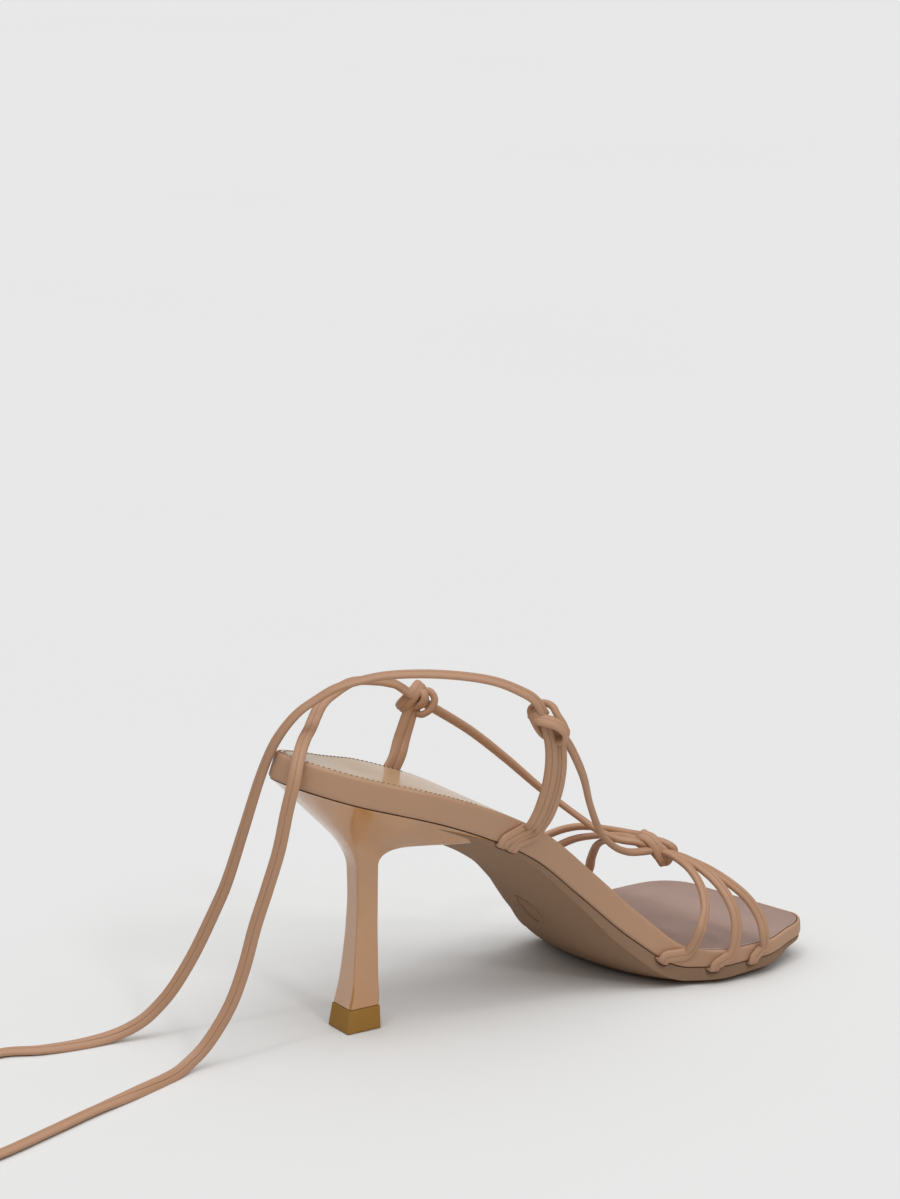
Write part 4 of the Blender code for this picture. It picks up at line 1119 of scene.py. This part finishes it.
def outsole_ring(place):
    """One section of the outsole: flat top, side wall, ledge and domed underside."""
    tail = min(max((OUTSOLE_TAIL_END - place) / (OUTSOLE_TAIL_END - OUTSOLE_START), 0.0), 1.0)
    inset = OUTSOLE_SETBACK + OUTSOLE_TAIL_INSET * tail
    start = band(place) + GAP
    edge = OUTSOLE_EDGE * share("edge", place)
    soft = min(OUTSOLE_SOFT_EDGE, edge * 0.3)
    side = [(inset, start + edge - soft), (inset + 0.3 * soft, start + edge - 0.3 * soft),
            (inset + soft, start + edge)]
    over = [(way, inset, start) for way in ways_across(17)]
    near = [(1, e, d) for e, d in side]
    under = [(way, inset + OUTSOLE_LEDGE, start + outsole_depth(place, way))
             for way in reversed(ways_across(41))]
    far = [(-1, e, d) for e, d in reversed(side)]
    points = [sole_point(place, way, e, down) for way, e, down in over + near + under + far]
    for point in points:
        point.z = max(point.z, 0.0)
    return points


def cut_pockets(context, outsole):
    """Cut the pockets that the straps' feet tuck into, as large as the feet with their gap."""
    sizes = context.scene.sandal_sizes
    pockets = bpy.data.collections.new("strap_pockets")
    for k, strip in enumerate(vamp_strips(sizes) + loop_strips(sizes)):
        cutter = sweep(f"pocket_{k}", [grown_foot(strip, GAP)])
        context.scene.collection.objects.unlink(cutter)
        pockets.objects.link(cutter)
    cut = outsole.modifiers.new("Pockets", "BOOLEAN")
    cut.operation = "DIFFERENCE"
    cut.solver = "EXACT"
    cut.operand_type = "COLLECTION"
    cut.collection = pockets
    keep_modified(context, outsole)
    for cutter in list(pockets.objects):
        bpy.data.objects.remove(cutter)
    bpy.data.collections.remove(pockets)


def waist_ring():
    """The plain oval ring on the outsole's underside."""
    ring = []
    for k in range(RING_STEPS):
        turn = 2 * math.pi * k / RING_STEPS
        place = RING_PLACE[0] + RING_HALF[0] * math.cos(turn) / SOLE_LENGTH
        way = RING_PLACE[1] + RING_HALF[1] * math.sin(turn) / WAIST_HALF_WIDTH
        depth = band(place) + GAP + outsole_depth(place, way)
        ring.append(sole_point(place, way, OUTSOLE_SETBACK + OUTSOLE_LEDGE, depth))
    downs = [-up_from(RING_PLACE[0])] * RING_STEPS
    round_tube = [RING_WIDTH] * RING_STEPS
    return sweep("outsole_ring", [(ring, downs, round_tube, round_tube, 0.0, True)])


class SANDAL_OT_outsole(bpy.types.Operator):
    """Make the moulded outsole with the pockets that the straps tuck into"""

    bl_idname = "sandal.outsole"
    bl_label = "Make Outsole"

    def execute(self, context):
        tip = 1 - OUTSOLE_SETBACK / SOLE_LENGTH
        places = list(np.linspace(OUTSOLE_START, OUTSOLE_TOE_START, 110))
        places += [tip - (1 - math.cos(math.pi / 2 * k / 10)) * OUTSOLE_TOE_SHARE for k in range(9, -1, -1)]
        build = bmesh.new()
        rows = [[build.verts.new(point) for point in outsole_ring(place)] for place in places]
        join_round(build, rows)
        build.faces.new(rows[0])
        build.faces.new(rows[-1])
        outsole = finished("outsole_moulding", build, 30.0)
        cut_pockets(context, outsole)
        material = finish("outsole_rubber", context.scene.sandal_colours.outsole)
        shader = material.node_tree.nodes["Principled BSDF"]
        shader.inputs["Specular IOR Level"].default_value = OUTSOLE_SHINE
        dress(outsole, material, "outsole_rubber", "outsole")
        dress(waist_ring(), material, "outsole_rubber", "outsole")
        return {"FINISHED"}


def eased_ring(points):
    """A closed ring with each point drawn a little towards the two beside it."""
    count = len(points)
    return [(points[k - 1] + points[k] * 2 + points[(k + 1) % count]) / 4 for k in range(count)]


def sampled(ring):
    """A closed ring of points sampled between its corners and eased round them."""
    points = []
    for k, here in enumerate(ring):
        there = ring[(k + 1) % len(ring)]
        points += [here.lerp(there, j / HEEL_SAMPLES) for j in range(HEEL_SAMPLES)]
    return eased_ring(points)


def column_ring(lean, width, depth, height):
    """A square section of the column with cut corners."""
    x, y, edge = width / 2, depth / 2, COLUMN_EDGE
    corners = ((0, y), (x - edge, y), (x, y - edge), (x, y / 3), (x, -y / 3), (x, edge - y),
               (x - edge, -y), (x / 3, -y), (0, -y), (-x / 3, -y), (edge - x, -y), (-x, edge - y),
               (-x, -y / 3), (-x, y / 3), (-x, y - edge), (edge - x, y))
    return [Vector((cx, lean + cy, height)) for cx, cy in corners]



def seat_ring():
    """The heel's outline against the footbed, from the middle of its breast round the back."""
    medial = (MEDIAL_WING_REACH + HEEL_SETBACK) / SOLE_LENGTH
    lateral = (LATERAL_WING_REACH + HEEL_SETBACK) / SOLE_LENGTH
    breast = (medial + lateral) / 2
    stops = [(breast, 0.0)] + [(medial * s, 1.0) for s in WING_STOPS] + [(HEEL_BACK, 0.0)]
    stops += [(lateral * s, -1.0) for s in WING_STOPS[::-1]]
    points = []
    for k, (place, way) in enumerate(stops):
        after, turn = stops[(k + 1) % len(stops)]
        for j in range(HEEL_SAMPLES):
            t = j / HEEL_SAMPLES
            here = place + (after - place) * t
            points.append(sole_point(here, way + (turn - way) * t, HEEL_INSET, band(here) + GAP))
    return eased_ring(points)


def column_rings():
    """The rings of the square column, from the top lift up to the cone."""
    base = LIFT_HEIGHT + GAP
    parts, *columns = [np.array(column) for column in zip(*COLUMN_SECTIONS)]
    rings = []
    for part in np.linspace(0, 1, COLUMN_STEPS):
        lean, width, depth = [float(smooth(parts, column, part)) for column in columns]
        ring = column_ring(COLUMN_LEAN * lean, COLUMN_WIDTH * width, COLUMN_DEPTH * depth,
                           base + part * (COLUMN_TOP - base))
        rings.append(sampled(ring))
    return rings


def cone_rings(top, seat):
    """The rings that bend out from the column's top and run on to the seat."""
    count = len(top)
    bends = []
    for k in range(count):
        front = 1 - min(k, count - k) / (count / 2)
        bends.append(top[k] + Vector((0, 0, SEAT_FILLET + (BREAST_FILLET - SEAT_FILLET) * front)))
    rings = []
    for step in np.linspace(0, 1, CONE_STEPS)[1:]:
        ring = []
        for start, bend, end in zip(top, bends, seat):
            reach = bend.lerp(end, CONE_TURN)
            ring.append(start * (1 - step) ** 2 + bend * 2 * step * (1 - step) + reach * step ** 2)
        rings.append(ring)
    last = rings[-1]
    for step in np.linspace(0, 1, SEAT_STEPS)[1:]:
        rings.append([low.lerp(high, step) for low, high in zip(last, seat)])
    return rings


class SANDAL_OT_heel(bpy.types.Operator):
    """Make the covered heel: square column, cone and wings"""

    bl_idname = "sandal.heel"
    bl_label = "Make Heel"

    def execute(self, context):
        rings = column_rings()
        rings += cone_rings(rings[-1], seat_ring())
        build = bmesh.new()
        rows = [[build.verts.new(point) for point in ring] for ring in rings]
        join_round(build, rows)
        for row in (rows[0], rows[-1]):
            count = len(row)
            middle = build.verts.new(sum((v.co for v in row), Vector()) / count)
            for k in range(count):
                build.faces.new((row[k], row[(k + 1) % count], middle))
        heel = finished("heel_cover", build, 50.0)
        dress(heel, finish("patent_heel", context.scene.sandal_colours.heel), "patent_wrap", "heel")
        return {"FINISHED"}


class SANDAL_OT_lift(bpy.types.Operator):
    """Make the rubber top lift with a worn edge"""

    bl_idname = "sandal.lift"
    bl_label = "Make Top Lift"

    def execute(self, context):
        build = bmesh.new()
        bmesh.ops.create_cube(build, size=1.0)
        for vertex in build.verts:
            x, y, z = vertex.co
            side, lean = (LIFT_SIDE, 0.0) if z < 0 else (LIFT_TOP, LIFT_LEAN)
            vertex.co = (x * side, y * side + lean, (z + 0.5) * LIFT_HEIGHT)
        bmesh.ops.subdivide_edges(build, edges=build.edges, cuts=3, use_grid_fill=True)
        lift = finished("top_lift", build)
        soften = lift.modifiers.new("Worn edge", "BEVEL")
        soften.width = WORN_EDGE
        soften.segments = 4
        soften.limit_method = "ANGLE"
        keep_modified(context, lift)
        lift.data.shade_smooth()
        lift.data.set_sharp_from_angle(angle=math.radians(50))
        material = finish("lift_rubber", context.scene.sandal_colours.lift)
        dress(lift, material, "lift_rubber", "heel_top_lift")
        return {"FINISHED"}


def outward(point, core):
    """The way from a core line along the foot to a point."""
    return Vector((point.x - core[0], 0.0, point.z - core[1])).normalized()


def vamp_strips(sizes):
    """The strips of the forefoot straps, each from the instep knot to its tuck under the band."""
    thick = sizes.strap_thickness
    strips = []
    for side, high, low, widths, rows in STRAPS:
        climb = [strap_point(side, row) for row in rows]
        ways = [outward(p, FOREFOOT_CORE) for p in climb] + turned_foot(side, low)
        off = STRAP_GAP + thick * FOOT_THINNING / 2
        points, faces = guided(climb + foot(side, high, low, off), ways, STRAP_SPACING)
        count = len(points)
        depths = eased((thick, thick, thick, thick * NEAR_FOOT, thick * FOOT_THINNING), count)
        knot, halfway, foot_width = widths
        wide = eased((knot, halfway, halfway, foot_width, foot_width * FOOT_NARROWING), count)
        strips.append((points, faces, wide, depths, sizes.seam_depth, False))
    return strips


def loop_strips(sizes):
    """The strips of the side loops, two strands on each side from the knot to the tuck."""
    thick = sizes.strap_thickness
    off = STRAP_GAP + thick * FOOT_THINNING / 2
    strips = []
    for side, ends, rows in LOOPS:
        strand = sizes.strand_width if side == "medial" else sizes.lateral_strand_width
        shares = [k / (len(rows) - 1) for k in range(len(rows))]
        out = Vector((side_sign(side), 0, 0))
        ways = [LOOP_FACES[side].lerp(out, 0.7 * (1 - t)) for t in shares]
        for shift in (-1, 1):
            apart = shift * strand * 0.5
            climb = [loop_point(side, row, apart * (1 - 0.3 * t)) for t, row in zip(shares, rows)]
            route = climb[::-1] + foot(side, *ends, off, apart)
            points, faces = guided(route, ways[::-1] + turned_foot(side, ends[1]), STRAP_SPACING)
            count = len(points)
            thin = thick * FOOT_THINNING
            depths = eased((thick, thick, thick * NEAR_FOOT, thin, thin), count)
            wide = eased((strand * NEAR_FOOT, strand, strand), count)
            strips.append((points, faces, wide, depths, sizes.seam_depth, False))
    return strips


def grown_foot(strip, grow):
    """The foot of a strip, made larger all round, as a cutter's strip."""
    points, faces, wide, depths, _, _ = strip
    keep = FOOT_STEPS
    return (points[-keep:], faces[-keep:], [w + 2 * grow for w in wide[-keep:]],
            [d + 2 * grow for d in depths[-keep:]], 0.0, False)


class SANDAL_OT_straps(bpy.types.Operator):
    """Make the forefoot straps, the side loops and the laces"""

    bl_idname = "sandal.straps"
    bl_label = "Make Straps"

    def execute(self, context):
        sizes = context.scene.sandal_sizes
        thick = sizes.strap_thickness
        vamp, loops, laces = vamp_strips(sizes), loop_strips(sizes), []
        instep = instep_point(INSTEP_KNOT)
        for side, knot, rows in LACES:
            start = knot_point(side, knot)
            gone = instep - start
            middle = [start + Vector((gone.x * a, gone.y * b, gone.z * c)) for a, b, c in rows]
            points = curve_through([start] + middle + [instep], LACE_SPACING)
            out, count = side_sign(side), len(points)
            faces = facing_between(((0.0, (out, 0.2, 0.3)), (0.5, (0.5 * out, 0.2, 0.9)),
                                    (1.0, (0.3, -0.3, 1.0))), count)
            laces.append((points, faces, [sizes.lace_width] * count, [thick] * count,
                          sizes.seam_depth, False))
        material = finish("patent_strap", context.scene.sandal_colours.patent)
        for name, strips in (("forefoot_straps", vamp), ("side_loops", loops), ("laces", laces)):
            dress(sweep(name, strips), material, "patent_strap", "upper")
        return {"FINISHED"}


class SANDAL_OT_knots(bpy.types.Operator):
    """Tie the three knots"""

    bl_idname = "sandal.knots"
    bl_label = "Tie Knots"

    def execute(self, context):
        sizes = context.scene.sandal_sizes
        middles = {"instep": instep_point(INSTEP_KNOT), "medial": knot_point("medial", MEDIAL_KNOT),
                   "lateral": knot_point("lateral", LATERAL_KNOT)}
        material = finish("patent_strap", context.scene.sandal_colours.patent)
        for knot, strands in KNOT_STRANDS.items():
            strips = []
            for closed, width, thickness, rows in strands:
                spots = [middles[knot] + (VIEW_RIGHT * a + VIEW_UP * b + VIEW_NEAR * c) * MILLIMETRE
                         for a, b, c in rows]
                points = (ring_through(spots, STRAND_RING_POINTS) if closed
                          else curve_through(spots, STRAND_SPACING))
                heart = sum(spots, Vector()) / len(spots) if closed else middles[knot]
                faces = [(p - heart).normalized() for p in points]
                count = len(points)
                strips.append((points, faces, [width * MILLIMETRE] * count, [thickness * MILLIMETRE] * count,
                               sizes.seam_depth * STRAND_SEAM_SHARE, closed))
            dress(sweep(f"{knot}_knot", strips), material, "patent_strap", "upper")
        return {"FINISHED"}


def studio_world():
    """Soft light from above that fades towards the horizon."""
    world = bpy.data.worlds.new("studio")
    world.use_nodes = True
    tree = world.node_tree
    place = node(tree, "ShaderNodeTexCoord")
    split = node(tree, "ShaderNodeSeparateXYZ")
    fade = node(tree, "ShaderNodeMapRange", interpolation_type="SMOOTHSTEP", in_From_Min=SKY_LOW[0],
                in_From_Max=SKY_HIGH[0], in_To_Min=SKY_LOW[1], in_To_Max=SKY_HIGH[1])
    sky = tree.nodes["Background"]
    sky.inputs["Color"].default_value = (1.0, 1.0, 1.0, 1.0)
    wire(tree, (place, "Generated", split, 0), (split, "Z", fade, "Value"), (fade, "Result", sky, "Strength"))
    return world


class SANDAL_OT_stage(bpy.types.Operator):
    """Lay the pale floor and set the soft studio light"""

    bl_idname = "sandal.stage"
    bl_label = "Set Stage"

    def execute(self, context):
        colours = context.scene.sandal_colours
        build = bmesh.new()
        bmesh.ops.create_grid(build, x_segments=8, y_segments=8, size=FLOOR_SIZE)
        for vertex in build.verts:
            vertex.co.z -= FLOOR_DROP
        floor = finished("studio_floor", build)
        deeper = [c * FLOOR_DEEPER for c in colours.floor]
        floor.data.materials.append(finish("studio_floor", colours.floor, deeper))
        context.scene.world = studio_world()
        context.scene.view_settings.view_transform = "Standard"
        for name, way, strength, spread in STUDIO_SUNS:
            data = bpy.data.lights.new(name, "SUN")
            data.energy = strength
            data.angle = math.radians(spread)
            lamp = bpy.data.objects.new(name, data)
            lamp.rotation_euler = (-Vector(way)).to_track_quat("-Z", "Y").to_euler()
            context.scene.collection.objects.link(lamp)
        return {"FINISHED"}


class SANDAL_PT_panel(bpy.types.Panel):
    """Sizes, colours and the steps that make the sandal"""

    bl_idname = "SANDAL_PT_panel"
    bl_label = "Sandal"
    bl_space_type = "VIEW_3D"
    bl_region_type = "UI"
    bl_category = "Sandal"

    def draw(self, context):
        layout = self.layout
        for group in (context.scene.sandal_sizes, context.scene.sandal_colours):
            column = layout.column(align=True)
            for name in group.__annotations__:
                column.prop(group, name)
        column = layout.column(align=True)
        for step in STEPS:
            column.operator(step.bl_idname)


STEPS = (
    SANDAL_OT_camera, SANDAL_OT_ties, SANDAL_OT_footbed, SANDAL_OT_sock, SANDAL_OT_stitches,
    SANDAL_OT_outsole, SANDAL_OT_heel, SANDAL_OT_lift, SANDAL_OT_straps, SANDAL_OT_knots,
    SANDAL_OT_stage)
CLASSES = (SandalSizes, SandalColours, *STEPS, SANDAL_PT_panel)


def register():
    """Register the classes and hang the settings on the scene."""
    for cls in CLASSES:
        bpy.utils.register_class(cls)
    bpy.types.Scene.sandal_sizes = PointerProperty(type=SandalSizes)
    bpy.types.Scene.sandal_colours = PointerProperty(type=SandalColours)


def unregister():
    """Take the settings and the classes away again."""
    del bpy.types.Scene.sandal_colours
    del bpy.types.Scene.sandal_sizes
    for cls in reversed(CLASSES):
        bpy.utils.unregister_class(cls)


def main():
    """Make every piece in order."""
    register()
    for step in STEPS:
        family, name = step.bl_idname.split(".")
        getattr(getattr(bpy.ops, family), name)()


if __name__ == "__main__":
    main()
